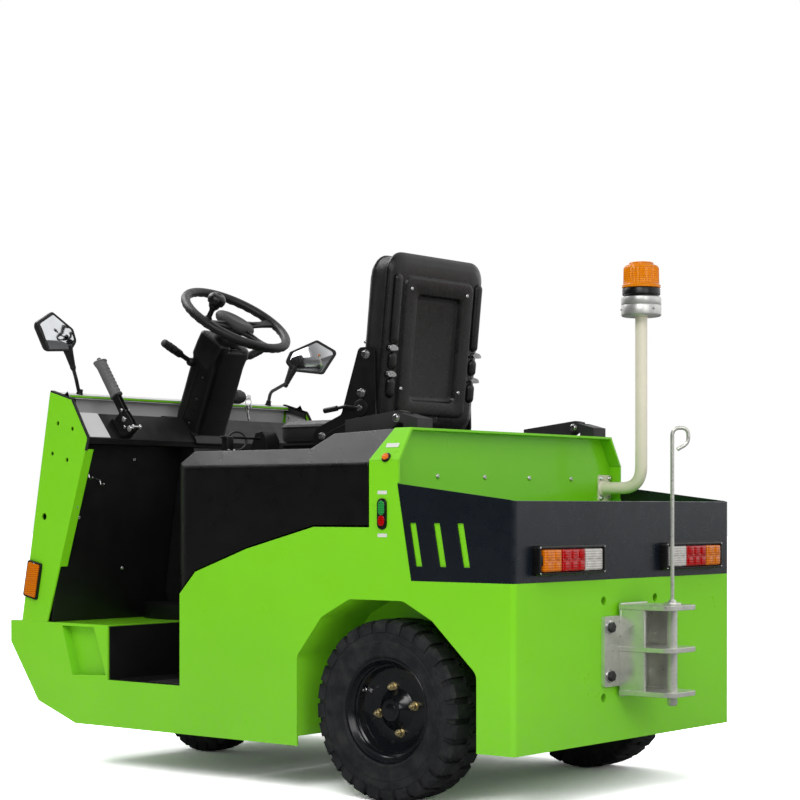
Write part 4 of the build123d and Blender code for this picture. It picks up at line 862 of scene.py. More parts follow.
@dataclass
class Studio:
    """Pale floor, white surroundings, soft lamps and the camera at the photograph's place; in metres."""

    camera_place: Triple = (-3.542, 4.239, 0.731)
    camera_heading: Pair = (0.6335, -0.7738)
    lens: float = 88.55
    rise: float = 0.1353
    ambient: float = 0.62
    # name, place, target, size, power
    lamps: tuple[tuple[str, Triple, Triple, float, float], ...] = (
        ("key", (-2.6, 5.0, 4.6), (0.1, 0.0, 0.6), 3.0, 165.0),
        ("rear_fill", (-5.5, 2.4, 3.2), (-0.6, 0.0, 0.6), 3.0, 75.0),
        ("brow", (3.2, 0.2, 4.3), (0.3, 0.3, 0.8), 2.6, 120.0),
    )

    def build(self) -> None:
        """Build the surroundings."""
        self.make_camera()
        self.make_world()
        self.make_floor()
        self.make_lamps()

    def hang(self, name: str, thing: bpy.types.ID, place: Triple, heading: Vector) -> bpy.types.Object:
        """Put a camera or a lamp in its place.

        Args:
            name: Its name.
            thing: Its data.
            place: Where it stands.
            heading: Where it looks.

        Returns:
            The object that holds it.
        """
        holder = bpy.data.objects.new(name, thing)
        bpy.context.scene.collection.objects.link(holder)
        holder.location = place
        holder.rotation_euler = heading.to_track_quat("-Z", "Y").to_euler()
        return holder

    def make_camera(self) -> None:
        """Set up the camera."""
        camera = bpy.data.cameras.new("camera")
        camera.lens = self.lens
        camera.sensor_width = 36
        camera.shift_y = self.rise
        heading = Vector((*self.camera_heading, 0))
        bpy.context.scene.camera = self.hang("camera", camera, self.camera_place, heading)
        bpy.context.scene.view_settings.view_transform = "Standard"

    def make_world(self) -> None:
        """White to the camera and in reflections, softer as light, and darker towards the machine's left."""
        world = bpy.data.worlds.new("studio")
        bpy.context.scene.world = world
        world.use_nodes = True
        tree = world.node_tree
        tree.nodes.clear()
        path = tree.nodes.new("ShaderNodeLightPath")
        split = tree.nodes.new("ShaderNodeSeparateXYZ")
        tree.links.new(tree.nodes.new("ShaderNodeTexCoord").outputs["Generated"], split.inputs[0])
        gradient = tree.nodes.new("ShaderNodeMapRange")
        for key, number in (("From Min", -0.35), ("From Max", 0.4), ("To Min", 1.0), ("To Max", 0.01)):
            gradient.inputs[key].default_value = number
        tree.links.new(split.outputs["Y"], gradient.inputs["Value"])
        targets = {"Is Glossy Ray": gradient.outputs["Result"]}
        targets |= {"Is Camera Ray": 1.0, "Is Transmission Ray": 1.0}
        level: object = self.ambient
        for ray, target in targets.items():
            mix = tree.nodes.new("ShaderNodeMix")
            tree.links.new(path.outputs[ray], mix.inputs[0])
            for entry, value in ((mix.inputs[2], level), (mix.inputs[3], target)):
                if isinstance(value, bpy.types.NodeSocket):
                    tree.links.new(value, entry)
                else:
                    entry.default_value = value
            level = mix.outputs[0]
        sky = tree.nodes.new("ShaderNodeBackground")
        sky.inputs["Color"].default_value = (1, 1, 1, 1)
        tree.links.new(level, sky.inputs["Strength"])
        tree.links.new(sky.outputs[0], tree.nodes.new("ShaderNodeOutputWorld").inputs["Surface"])

    def make_floor(self) -> None:
        """Lay the floor, which is pale and keeps the machine's shadow."""
        mesh = bpy.data.meshes.new("floor")
        reach = 40.0
        corners = [(-reach, -reach, 0), (reach, -reach, 0), (reach, reach, 0), (-reach, reach, 0)]
        mesh.from_pydata(corners, [], [(0, 1, 2, 3)])
        graph = Graph("pale_floor")
        graph.set(Base_Color=(0.92, 0.92, 0.92, 1), Roughness=0.9, Specular_IOR_Level=0.1)
        path = graph.add("LightPath")
        surface = graph.shader.outputs[0]
        for ray, level in (("Is Glossy Ray", 0.2), ("Is Camera Ray", 2.6)):
            seen = graph.add("BsdfDiffuse", Color=(level, level, level, 1))
            blend = graph.add("MixShader")
            for place, value in enumerate((path.outputs[ray], surface, seen.outputs[0])):
                graph.put(blend, place, value)
            surface = blend.outputs[0]
        graph.put(graph.tree.nodes["Material Output"], "Surface", surface)
        mesh.materials.append(graph.material)
        floor = bpy.data.objects.new("floor", mesh)
        bpy.context.scene.collection.objects.link(floor)

    def make_lamps(self) -> None:
        """Hang the soft lamps."""
        for name, place, target, size, power in self.lamps:
            lamp = bpy.data.lights.new(name, "AREA")
            lamp.shape = "SQUARE"
            lamp.size = size
            lamp.energy = power
            self.hang(name, lamp, place, Vector(target) - Vector(place))


@dataclass
class Wheel:
    """Tyre with lugs on a dished steel wheel; sizes in millimetres."""

    name: str
    body: str
    tyre_node: str
    rim_node: str
    side: Side
    station: float
    middle: float
    radius: float
    rim_radius: float
    width: float
    lugs: int
    nut_circle: float = 58.0
    lug_depth: float = 9.0
    nuts: int = 4
    # Half of the tyre's section from the bead outward: share of the half width, share of the wall's height
    section: tuple[Pair, ...] = (
        (0.74, 0.0), (0.86, 0.04), (0.93, 0.10), (0.92, 0.13), (0.96, 0.22), (0.985, 0.40), (0.99, 0.44),
        (0.97, 0.46), (0.985, 0.58), (0.975, 0.66), (0.95, 0.68), (0.93, 0.80), (0.86, 0.90), (0.60, 0.918),
        (0.2, 0.925),
    )

    def axis(self) -> Matrix:
        """Frame at the wheel's middle, its Z pointing outward along the axle."""
        return outward(self.station, self.middle, self.radius, self.side.value)

    def build(self) -> None:
        """Build the tyre and the wheel."""
        self.make_tyre()
        self.make_rim()

    def make_tyre(self) -> None:
        """Make the tyre: a carcass with raised bands on its sides, shoulder lugs and middle blocks."""
        half, radius, rim = self.width / 2, self.radius, self.rim_radius
        wall = radius - rim
        outside = [(rim + up * wall, out * half) for out, up in self.section]
        shape = Shape()
        axis = self.axis()
        shape.turned([*outside, *((r, -z) for r, z in reversed(outside))], axis, 112)
        pitch = 360.0 / self.lugs
        top = radius - 0.4
        # One lug's side view: place out from the middle, radius
        lug = (
            (-0.10 * half, top - self.lug_depth), (-0.10 * half, top - 1.0), (0.30 * half, top),
            (0.84 * half, top - 2.0), (0.965 * half, top - 9.0), (1.0 * half, radius - 0.20 * wall),
            (0.985 * half, radius - 0.33 * wall), (0.90 * half, radius - 0.33 * wall),
        )
        long_way = radius * sin(radians(pitch / 2)) * 1.36
        # Local frame whose X runs out along the axle, Y up to the tread and Z along the tread
        local = Matrix(((0, 0, 1, 0), (0, 1, 0, 0), (1, 0, 0, 0), (0, 0, 0, 1)))
        for way, start in ((1, 0.25), (-1, 0.75)):
            for index in range(self.lugs):
                spot = swung(axis, pitch * (index + start)) @ Matrix.Diagonal((1, 1, way, 1)) @ local
                shape.prism(lug, -long_way / 2, long_way / 2, spot, 1.6)
        size = (long_way * 0.5, self.lug_depth, 0.24 * half)
        for index in range(self.lugs):
            spot = swung(axis, pitch * (index + 0.5))
            shape.block(size, spot, 1.2, shift=(0, radius - self.lug_depth / 2 - 1.0, 0))
        name = f"{self.name}_tyre_dressed"
        add_piece(name, shape, ("tyre_rubber",), self.tyre_node, 32, self.body)

    def make_rim(self) -> None:
        """Make the wheel: rolled flange, well, dished disc with a ridge, hub cap, nuts and valve."""
        half, rim = self.width * 0.37, self.rim_radius - 0.4
        disc = half - 40
        profile = (
            (rim - 9, -half), (rim, -half), (rim, half), (rim + 5.5, half + 3), (rim + 6.4, half + 6.5),
            (rim + 3.5, half + 8.6), (rim - 1.5, half + 7.5), (rim - 5, half + 2), (rim - 8, half - 4),
            (rim - 12, half - 8), (rim - 13, half - 13), (rim - 17, half - 16), (rim - 19, half - 21),
            (rim - 24, half - 31), (rim - 34, disc + 5), (rim - 46, disc + 2.5), (54, disc + 3),
            (50, disc + 6), (40, disc + 12), (34, disc + 21), (30, disc + 24), (27, disc + 30),
            (0, disc + 31), (0, disc - 4), (rim - 40, disc - 4), (rim - 14, disc - 2), (rim - 9, disc + 4),
        )
        shape = Shape()
        axis = self.axis()
        shape.turned(profile, axis, 96)
        for x, y in ring(self.nuts, self.nut_circle, 12):
            spot = shifted(axis, x, y, disc + 2.6)
            shape.turned(((0, 0), (12.5, 0), (11, 3), (0, 3)), spot, 24, 1)
            shape.bolt(shifted(spot, 0, 0, 3), 17, 10, layer=1)
            shape.turned(((0, 12), (5, 12), (5, 19), (4, 20), (0, 20)), spot, 16, 1)
        cap = ((14, 0), (16, 0), (16, 1.6), (14, 2.2), (0, 2.2), (0, 0))
        shape.turned(cap, shifted(axis, 0, 0, disc + 30), 32)
        for x, y in ring(6, 84 if rim > 110 else 62, 20):
            shape.disc(6.5, 0.9, shifted(axis, x, y, disc + 2.4), 18)
        stem = shifted(swung(axis, -118), 0, rim - 30, disc + 6)
        shape.block((9, 20, 7), stem, 1.5, layer=2)
        shape.turned(((0, 0), (4.5, 0), (4.5, 18), (3.2, 19), (3.2, 26), (0, 26)), stem, 16, 2)
        names = ("wheel_paint", "yellow_zinc", "bright_steel")
        add_piece(f"{self.name}_rim_dressed", shape, names, self.rim_node, 30, self.body)


def lined(points: Sequence[Triple], where: Matrix, gap: float = 3.0) -> list[Vector]:
    """Points close together along a line, in the machine's frame.

    Args:
        points: Corners of the line, in millimetres.
        where: Their local frame.
        gap: Distance between the points, in millimetres.

    Returns:
        The points, in metres.
    """
    corners = through(where, points)
    result: list[Vector] = []
    for start, end in zip(corners, corners[1:]):
        count = max(1, int((end - start).length / (gap * MM)))
        result += [start.lerp(end, step / count) for step in range(count)]
    return [*result, corners[-1]]


def applied(thing: bpy.types.Object) -> bpy.types.Mesh:
    """Mesh of an object with its modifiers applied."""
    return bpy.data.meshes.new_from_object(thing.evaluated_get(bpy.context.evaluated_depsgraph_get()))


@dataclass
class Pad:
    """Upholstered pad with a sewn middle panel, channels and piping, swollen by a cloth simulation.

    Its frame's Z leads away from what it rests on, and its sizes are in millimetres.
    """

    name: str
    where: Matrix
    size: Pair
    corner: float
    # share of an inset that its corner loses
    pull: float
    # inset, level
    walls: tuple[Pair, ...]
    # level of the side seam
    seam: float
    panel: Pair
    panel_corner: float
    # places of the channels as shares of the panel, and the axis along which they are counted
    channels: tuple[float, ...]
    channel_axis: int
    # level under which the pad rests on something
    rest: float
    voxel: float = 6.5
    pressure: float = 4.0
    cap: float = 18.0
    held: float = 5.5
    frames: int = 20

    def build(self) -> None:
        """Build the cover and the piping over its seams."""
        edge = oblong(*self.size, self.corner, self.seam)
        panel = oblong(*self.panel, self.panel_corner, self.walls[-1][1])
        seams = lined([*edge, edge[0]], self.where) + lined([*panel, panel[0]], self.where)
        for channel in self.channel_lines():
            seams += lined(channel, self.where)
        self.make_cover(self.swollen(self.form(), seams))
        piping = Shape()
        piping.ring_tube(through(self.where, edge), 2.6, 8)
        piping.ring_tube(through(self.where, [(x, y, level + 0.6) for x, y, level in panel]), 1.7, 8)
        add_piece(f"{self.name}_cord", piping, ("seat_vinyl",), body="tilting_hood")

    def channel_lines(self) -> list[list[Triple]]:
        """Ends of each sewn channel across the middle panel.

        Returns:
            The ends, in the pad's frame.
        """
        along, across = self.panel[self.channel_axis], self.panel[1 - self.channel_axis] / 2
        lines = []
        for share in self.channels:
            ends = [(share * along, way * across) for way in (-1, 1)]
            if self.channel_axis == 1:
                ends = [(x, y) for y, x in ends]
            lines.append([(x, y, self.walls[-1][1]) for x, y in ends])
        return lines

    def form(self) -> bpy.types.Mesh:
        """Closed form of the pad, a little smaller than the finished one.

        Returns:
            The form.
        """
        shape = Shape()
        width, height = self.size
        rows = []
        for inset, level in self.walls:
            size = (width - 2 * inset, height - 2 * inset)
            rows.append((*size, self.corner - inset * self.pull, level))
        shape.stack(rows, self.where)
        mesh = bpy.data.meshes.new(self.name + "_pad")
        shape.mesh.to_mesh(mesh)
        shape.mesh.free()
        return mesh

    def swollen(self, mesh: bpy.types.Mesh, seams: Sequence[Vector]) -> bpy.types.Mesh:
        """Swell a closed form, with its seams and its underside held.

        Args:
            mesh: The form, which is removed.
            seams: Points along the seams.

        Returns:
            The swollen mesh.
        """
        scene = bpy.context.scene
        pad = bpy.data.objects.new(self.name + "_swelling", mesh)
        scene.collection.objects.link(pad)
        remesh = pad.modifiers.new("even_faces", "REMESH")
        remesh.mode = "VOXEL"
        remesh.voxel_size = self.voxel * MM
        even = applied(pad)
        pad.modifiers.clear()
        pad.data = even
        starts = [point.co.copy() for point in even.vertices]
        tree = KDTree(len(seams))
        for index, point in enumerate(seams):
            tree.insert(point, index)
        tree.balance()
        inside = self.where.inverted()
        group = pad.vertex_groups.new(name="held")
        for index, place in enumerate(starts):
            if (inside @ place).z < self.rest * MM or tree.find(place)[2] < self.held * MM:
                group.add([index], 1.0, "REPLACE")
        cloth = pad.modifiers.new("cover", "CLOTH")
        cloth.settings.quality = 6
        cloth.settings.mass = 0.3
        cloth.settings.use_pressure = True
        cloth.settings.uniform_pressure_force = self.pressure
        cloth.settings.effector_weights.gravity = 0.0
        cloth.settings.vertex_group_mass = "held"
        cloth.point_cache.frame_end = self.frames
        for step in range(self.frames):
            scene.frame_set(step + 1)
        result = applied(pad)
        for point, start in zip(result.vertices, starts):
            push = point.co - start
            if push.length > self.cap * MM:
                point.co = start + push * (self.cap * MM / push.length)
        scene.frame_set(1)
        bpy.data.objects.remove(pad)
        bpy.data.meshes.remove(mesh)
        bpy.data.meshes.remove(even)
        return result

    def make_cover(self, mesh: bpy.types.Mesh) -> None:
        """Turn a mesh into the pad's cover, evened out and made finer.

        Args:
            mesh: The mesh, which is removed.
        """
        pad = bpy.data.objects.new(self.name + "_smoothing", mesh)
        bpy.context.scene.collection.objects.link(pad)
        smooth = pad.modifiers.new("even_out", "SMOOTH")
        smooth.factor = 0.5
        smooth.iterations = 2
        finer = pad.modifiers.new("finer", "SUBSURF")
        finer.levels = finer.render_levels = 1
        result = applied(pad)
        result.materials.clear()
        bpy.data.objects.remove(pad)
        bpy.data.meshes.remove(mesh)
        cover = enlist(f"{self.name}_cover", result, ("seat_vinyl",), self.name, "tilting_hood")


@dataclass
class Seat:
    """Seat on the hood: cushion, back pad in its moulded shell, and side brackets; sizes in millimetres."""

    width: float = 410.0
    cushion_rear: float = 786.0
    cushion_front: float = 1050.0
    cushion_low: float = 914.4
    cushion_high: float = 980.3
    back_at: float = 650.0
    back_foot: float = 935.0
    lean: float = 6.0
    back_height: float = 483.0
    shell_thick: float = 30.4
    pad_thick: float = 82.0
    plate_bottom: float = 906.0

    def back_frame(self) -> Matrix:
        """Frame of the back: X to the left, Y up along it, and Z forward from the rear of its shell."""
        tilt = radians(self.lean)
        return placing(at(self.back_at, 0, self.back_foot), LEFTWARD, (cos(tilt), 0, sin(tilt)))

    def build(self) -> None:
        """Build the seat."""
        self.cushion().build()
        self.back().build()
        self.make_shell()
        self.make_brackets()

    def cushion(self) -> Pad:
        """Cushion with side bolsters and channels across its middle.

        Returns:
            The pad.
        """
        rise = self.cushion_high - self.cushion_low
        crown = rise - 7
        length, width = self.cushion_front - self.cushion_rear - 12, self.width - 12
        where = upward((self.cushion_rear + self.cushion_front) / 2, 0, self.cushion_low)
        foot = ((8, 0), (1, 5), (0, 14))
        walls = (*foot, (0, rise - 26), (3, rise - 17), (10, rise - 10), (22, crown), (40, crown))
        sewn = {"panel": (length - 92, width - 116), "panel_corner": 26, "channels": (-0.25, 0.0, 0.25)}
        form = {"size": (length, width), "corner": 46, "pull": 0.6, "walls": walls, "seam": rise - 24}
        return Pad("seat_cushion", where, **form, **sewn, channel_axis=0, rest=4.0)

    def back(self) -> Pad:
        """Back pad with side bolsters and channels across its middle.

        Returns:
            The pad.
        """
        depth = self.pad_thick
        crown = depth - 9
        width, height = self.width - 14, self.back_height - 32
        where = shifted(self.back_frame(), 0, self.back_height / 2 + 4, self.shell_thick)
        walls = ((6, 0), (0, 6), (0, depth - 34), (3, depth - 22), (12, depth - 12), (26, crown), (44, crown))
        sewn = {"panel": (width - 128, height - 110), "panel_corner": 28, "channels": (-0.3, -0.1, 0.1, 0.3)}
        form = {"size": (width, height), "corner": 54, "pull": 0.5, "walls": walls, "seam": depth - 32}
        return Pad("seat_back", where, **form, **sewn, channel_axis=1, rest=3.0)

    def make_shell(self) -> None:
        """Make the moulded shell: bevelled edge, side flutes, raised frame, sunk panel, screws and clips."""
        where = self.back_frame()
        # taken off the width, off the height, corner radius, level, drop of the middle
        rows = (
            (3, 3, 53, 30, 0), (0, 0, 55, 28, 0), (0, 0, 55, 23, 0), (3, 3, 54, 19.5, 0), (24, 26, 48, 13, 0),
            (50, 52, 38, 8.8, 0), (56, 58, 35, 8, 0), (110, 106, 24, 8, 6), (113, 109, 23, 6.6, 6),
            (117, 113, 22, 1.6, 6), (124, 120, 21, 0.2, 6), (128, 124, 20, 0, 6), (206, 186, 20, 0, 10),
            (212, 192, 18, 0.8, 10), (218, 198, 16, 5, 10), (222, 202, 15, 11, 10), (230, 210, 13, 13.4, 10),
            (238, 218, 12, 14, 10),
        )
        middle = self.back_height / 2
        shape = Shape()
        loops = []
        for less_wide, less_high, radius, level, drop in rows:
            size = (self.width - less_wide, self.back_height - less_high)
            loops.append(oblong(*size, radius, level, (0, middle - drop), 10))
        shape.loft(loops, where)
        clip = ((18, 0), (15, 7), (4, 10), (-9, 8), (-17, 3), (-19, -3), (-10, -5), (12, -6))
        for side in Side:
            for low, high in ((236, 424), (168, 214), (92, 146)):
                tall = high - low
                # width, taken off the length, level of the flute's skin
                bump = ((30, 0, 9), (30, 0, 6.5), (26, 4, 3.2), (19, 12, 1.2), (9, 26, 0.6))
                flute = [(wide, tall - less, wide / 2 - 1, level) for wide, less, level in bump]
                shape.stack(flute, where, centre=(side.value * 176, (low + high) / 2), steps=8)
            for up in (224, 154):
                shape.prism(rounded(clip, 2.0, 3), -3, 5, shifted(where, side.value * 184, up, 1), 0.8, 1)
        head = ((0, 0), (5.6, 0), (5.2, 1.4), (3.6, 2.6), (2.2, 2.8), (1.8, 1.6), (0, 1.4))
        for across, up in ((126, 388), (-118, 388), (140, 118), (-112, 118)):
            shape.turned(head, swung(shifted(where, across, up), 180, "X"), 20, 1)
        shape.prism(flat(66, 20, 6, (0, 40)), 5, 9, where, 1.5)
        names = ("moulding", "bright_steel")
        add_piece("seat_back_shell", shape, names, "seat_shell", 38, "tilting_hood")

    def make_brackets(self) -> None:
        """Make the side brackets with their bolts, spacers and the lever of the tilting back."""
        low, rear, back = self.plate_bottom, self.cushion_rear, self.back_at
        outline = (
            (back + 28, low), (rear + 114, low), (rear + 94, low + 44), (rear + 2, low + 79),
            (back + 76, low + 258), (back + 20, low + 258), (back + 16, low + 54),
        )
        rib = ((rear + 60, low + 14), (rear + 52, low + 30), (back + 66, low + 74), (back + 58, low + 22))
        shape = Shape()
        for side in Side:
            way = side.value
            inner = way * (self.width / 2 + 0.4)
            near, far = sorted((0, -way * 6))
            view = side_view(inner)
            shape.prism(rounded(outline, 15, 6), near, far, view, 1.2)
            shape.prism(rounded(rib, 7, 4), near - 1.5, far + 1.5, view, 1.4)
            face = inner + way * 6
            for station, height, across in ((699, 1144, 17), (715, 1041, 17), (rear + 70, low + 22, 15)):
                shape.bolt(outward(station, face, height, way), across, 8, across * 0.72, 1, 1)
            shape.screw(outward(702, face, 1177, way), 4.5, 3.0, 1)
            hub = outward(718, face, 1000, way)
            shape.turned(((0, 0), (24, 0), (24, 3), (20, 5), (0, 5)), hub, 32)
            shape.turned(((0, 5), (9, 5), (8, 9), (0, 9)), hub, 24, 1)
        shape.tube([at(722, 218, 1000), at(760, 224, 1006), at(800, 226, 1000)], 4.5, 10, bend=14)
        shape.tube([at(790, 226, 1001.5), at(834, 227, 996)], 7.5, 14, 2)
        for side in Side:
            spacer = upward(rear + 14, side.value * (self.width / 2 - 7), low + 4)
            shape.block((150, 26, 7.6), spacer, 0.8)
        names = ("dash_paint", "bright_steel", "grip_plastic")
        add_piece("seat_side_brackets", shape, names, "seat_brackets", 32, "tilting_hood")


@dataclass
class HandWheel:
    """Steering wheel with its spokes, pad, boss and spinner knob; sizes in millimetres."""

    station: float = 1388.0
    height: float = 1293.0
    lean: float = 34.0
    radius: float = 177.0
    rim: float = 14.0
    spokes: tuple[float, ...] = (8.0, 95.0, 182.0)
    pad_turn: float = 119.0
    knob: Pair = (143.0, 25.0)
    finger_waves: int = 36

    def shaft(self) -> Matrix:
        """Frame of the shaft: X to the left, Y towards the driver, Z up along it."""
        tilt = radians(self.lean)
        return placing(at(self.station, 0, self.height), LEFTWARD, (-sin(tilt), 0, cos(tilt)))

    def build(self) -> None:
        """Build the wheel."""
        where = self.shaft()
        shape = Shape()
        self.make_rim(shape, where)
        for angle in self.spokes:
            self.make_spoke(shape, swung(where, angle))
        self.make_pad(shape, swung(where, self.pad_turn))
        boss = (
            (0, -81.6), (34, -81.6), (34, -76), (40, -73), (40, -58), (36, -48),
            (34, -38), (38, -29), (46, -24), (46, -18), (0, -18),
        )
        shape.turned(boss, where, 48)
        self.make_knob(shape, shifted(where, *self.knob))
        names = ("grip_plastic", "moulding", "pad_skin")
        add_piece("hand_wheel_dressed", shape, names, "steering_wheel", 40, "hand_wheel")

    def make_rim(self, shape: Shape, where: Matrix) -> None:
        """Add the rim, with finger waves on its underside.

        Args:
            shape: The shape to add to.
            where: Frame of the shaft.
        """
        middle = self.radius - self.rim
        count = 144
        loops = []
        for step in range(count):
            turn = tau * step / count
            wave = 0.9 * (1 + cos(self.finger_waves * turn))
            loop = []
            for x, y in ring(20, self.rim):
                share = 1 - wave * max(0.0, -y / self.rim) / self.rim
                out = middle + x * share
                loop.append((out * cos(turn), out * sin(turn), y * share))
            loops.append(loop)
        shape.loft(loops, where, closed=True)

    def make_spoke(self, shape: Shape, where: Matrix) -> None:
        """Add a spoke that dips from the rim to the boss.

        Args:
            shape: The shape to add to.
            where: Frame whose X runs along the spoke.
        """
        # distance from the shaft, width, thickness, height
        stations = (
            (22, 46, 12, -20), (52, 34, 12, -17), (84, 27, 11, -12),
            (116, 26, 11, -9), (142, 32, 12, -5), (160, 42, 13, -1),
        )
        loops = []
        for out, width, thick, level in stations:
            loops.append([(out, x, y + level) for x, y, _ in oblong(width, thick, 5, 0, steps=3)])
        shape.loft(loops, where)
        shape.block((92, 9, 3), where, 1.2, layer=1, shift=(92, 0, -4.5))

    def make_pad(self, shape: Shape, where: Matrix) -> None:
        """Add the oval pad over the boss.

        Args:
            shape: The shape to add to.
            where: Frame whose X runs along the pad.
        """
        # half length, half width, height
        levels = (
            (54, 32, -24), (60, 37, -20), (64, 40, -12), (64, 40, -7), (61, 37.5, -1), (55, 32, 3.5),
            (46, 25, 6.5), (40, 20, 6.2), (34, 16, 4.6), (18, 9, 4.2), (2, 1, 4.2),
        )
        shape.loft([[(a * x, b * y, z) for x, y in ring(56, 1.0)] for a, b, z in levels], where, 2)

    def make_knob(self, shape: Shape, where: Matrix) -> None:
        """Add the spinner knob on its clamp.

        Args:
            shape: The shape to add to.
            where: Frame at the knob's foot.
        """
        shape.block((34, 30, 16), where, 5, 3, shift=(4, 0, -3))
        for way in (-1, 1):
            shape.screw(shifted(where, 12, way * 9, 5), 4.0, 3.0, 1)
        stem = (
            (0, 4), (13, 4), (12, 10), (8, 16), (7.5, 34), (10, 40), (15, 46), (17, 52), (15, 57), (0, 57),
        )
        shape.turned(stem, where, 32, 1)
        ball = (
            (0, 53), (16, 54), (24, 59), (27, 67), (27, 74), (24, 82),
            (18, 87.5), (11, 89.4), (8, 88.6), (5, 87.2), (0, 86.8),
        )
        shape.turned(ball, where, 44, 1)


@dataclass
class Column:
    """Moulded column cover, its levers and the key switch; sizes in millimetres."""

    half: float = 66.0
    lean: float = 34.0
    # Middle of the hand wheel: station, height
    wheel: Pair = (1388.0, 1293.0)
    head_below: float = 82.0
    lock: Pair = (1486.0, 1072.0)
    lock_length: float = 63.0

    def build(self) -> None:
        """Build the column."""
        self.make_cover()
        self.make_levers()

    def make_cover(self) -> None:
        """Make the cover: a leaning box with a raised left head and a bulging right one."""
        tilt = radians(self.lean)
        # Middle of the head, square to the shaft
        ahead, up = self.wheel[0] + self.head_below * sin(tilt), self.wheel[1] - self.head_below * cos(tilt)
        # station, height, turn of the section, width across the machine, depth
        stations = (
            (1560, 916, 34, 130, 96),
            (1548, 936, 34, 132, 112),
            (1530, 1000, 32, 132, 112),
            (1504, 1064, 32, 132, 112),
            (ahead + 44 * sin(tilt), up - 52 * cos(tilt), 34, 132, 113),
            (ahead + 9 * sin(tilt), up - 9 * cos(tilt), 34, 132, 114),
            (ahead + 3 * sin(tilt), up - 3 * cos(tilt), 34, 127, 109),
            (ahead + 0.3, up - 0.3, 34, 117, 99),
        )
        loops = []
        for station, height, degrees, width, depth in stations:
            turn = radians(degrees)
            section = oblong(width, depth, 20, 0, steps=5)
            loops.append([(station + y * cos(turn), height + y * sin(turn), -x) for x, y, _ in section])
        shape = Shape()
        shape.loft(loops, side_view())
        head = placing(at(ahead, 0, up), LEFTWARD, (-sin(tilt), 0, cos(tilt)))
        # width, depth, level
        left = (
            (42, 92, -70), (46, 104, -60), (48, 108, -20), (48, 108, 8), (46, 105, 12),
            (41, 98, 15), (30, 84, 16),
        )
        right = (
            (26, 70, -96), (44, 96, -78), (54, 106, -48), (56, 106, -14), (52, 102, 0),
            (44, 92, 6), (28, 70, 8),
        )
        shape.stack([(wide, deep, 15, level) for wide, deep, level in left], head, centre=(46, 2), steps=5)
        shape.stack([(wide, deep, 22, level) for wide, deep, level in right], head, centre=(-44, 2))
        shape.turned(((36, -4), (43, -4), (43, 3), (40, 5), (36, 3)), head, 40, 1)
        seam = ((1566, 950), (1548, 1000), (1520, 1064), (ahead + 30, up - 24))
        for side in Side:
            way = side.value
            line = [at(station, way * (self.half + 0.2), height) for station, height in seam]
            shape.tube(line, 1.3, 8, bend=30)
            for station, height in ((1520, 985), (1488, 1056), (1462, 1118)):
                shape.screw(outward(station, way * self.half, height, way), 5.0, 2.2, 1)
        flare = ((1476, 922), (1488, 948), (1604, 1008), (1634, 1012), (1634, 1000), (1500, 922))
        shape.prism(rounded(flare, 5, 3), -74, 74, side_view(), 3.0)
        names = ("column_skin", "dash_paint")
        add_piece("column_cover_dressed", shape, names, "column_cover", 36)

    def make_levers(self) -> None:
        """Make the two levers, and the key switch with its keys."""
        shape = Shape()
        tilt = radians(24)
        profile = (
            (0, 5), (8, 5), (7.4, 30), (8, 44), (11.4, 50), (12.2, 56), (12.2, 96), (13.2, 98), (13.2, 102),
            (12.2, 104), (12.2, 120), (10.4, 126), (0, 128),
        )
        for side, station, height in ((Side.LEFT, 1510, 1170), (Side.RIGHT, 1442, 1174)):
            way = side.value
            foot = (station, way * 66.3, height)
            shape.turned(((0, 0), (13, 0), (13, 4), (11, 10), (8, 13), (0, 13)), outward(*foot, way), 28)
            lever = placing(at(*foot), AHEAD, (0, way * cos(tilt), sin(tilt)))
            shape.turned(profile, lever, 26)
            rib = ((11.8, -1), (12.9, -0.6), (12.9, 0.6), (11.8, 1))
            for level in (78, 82, 86, 90):
                shape.turned(rib, shifted(lever, 0, 0, level), 24)
        self.make_lock(shape)
        names = ("grip_plastic", "bright_steel")
        add_piece("levers_and_key", shape, names, "stalks", 36)

    def make_lock(self, shape: Shape) -> None:
        """Add the key switch with a key in it, and two keys hanging from a ring.

        Args:
            shape: The shape to add to.
        """
        station, height = self.lock
        end, out = self.lock_length, -self.half - 0.4
        lock = outward(station, out, height, -1)
        shape.turned(((0, 0), (22, 0), (22, 48), (20, 51), (18, 52), (18, 60), (16, end), (0, end)), lock, 36)
        shape.turned(((0, end), (11, end), (10, end + 2.5), (0, end + 2.5)), lock, 28, 1)
        shape.prism(rounded(((-28, -17), (22, -17), (22, 17), (-28, 17)), 6, 3), -0.2, 15, lock, 2.0)
        key = shifted(lock, 0, 0, end + 2)
        shape.block((2.2, 8, 15), key, 0.6, layer=1, shift=(0, 0, 7))
        shape.prism(flat(21, 17, 6), 14, 16.6, shifted(swung(key, 90, "Y"), -24, 0, -15.4), 0.5, 1)
        hang = at(station, out - end - 26, height - 2)
        shape.ring_tube([hang + Vector((y, 0, x - 12)) * MM for x, y in ring(24, 12)], 1.0, 8, 1)
        for shift, length, degrees in ((-3, 40, 8), (4, 46, -12)):
            turn = radians(degrees)
            drop = placing(hang + Vector((shift, shift, -23)) * MM, (cos(turn), 0, sin(turn)), (0, -1, 0))
            shape.prism(flat(17, 16, 5, (0, -8)), -1, 1, drop, 0.4, 1)
            teeth = (
                (-3.5, -15), (-3.5, -length), (0, -length - 3), (3.5, -length + 1),
                (2, -length + 6), (3.5, -length + 10), (3.5, -15),
            )
            shape.prism(teeth, -0.9, 0.9, drop, 0.2, 1)


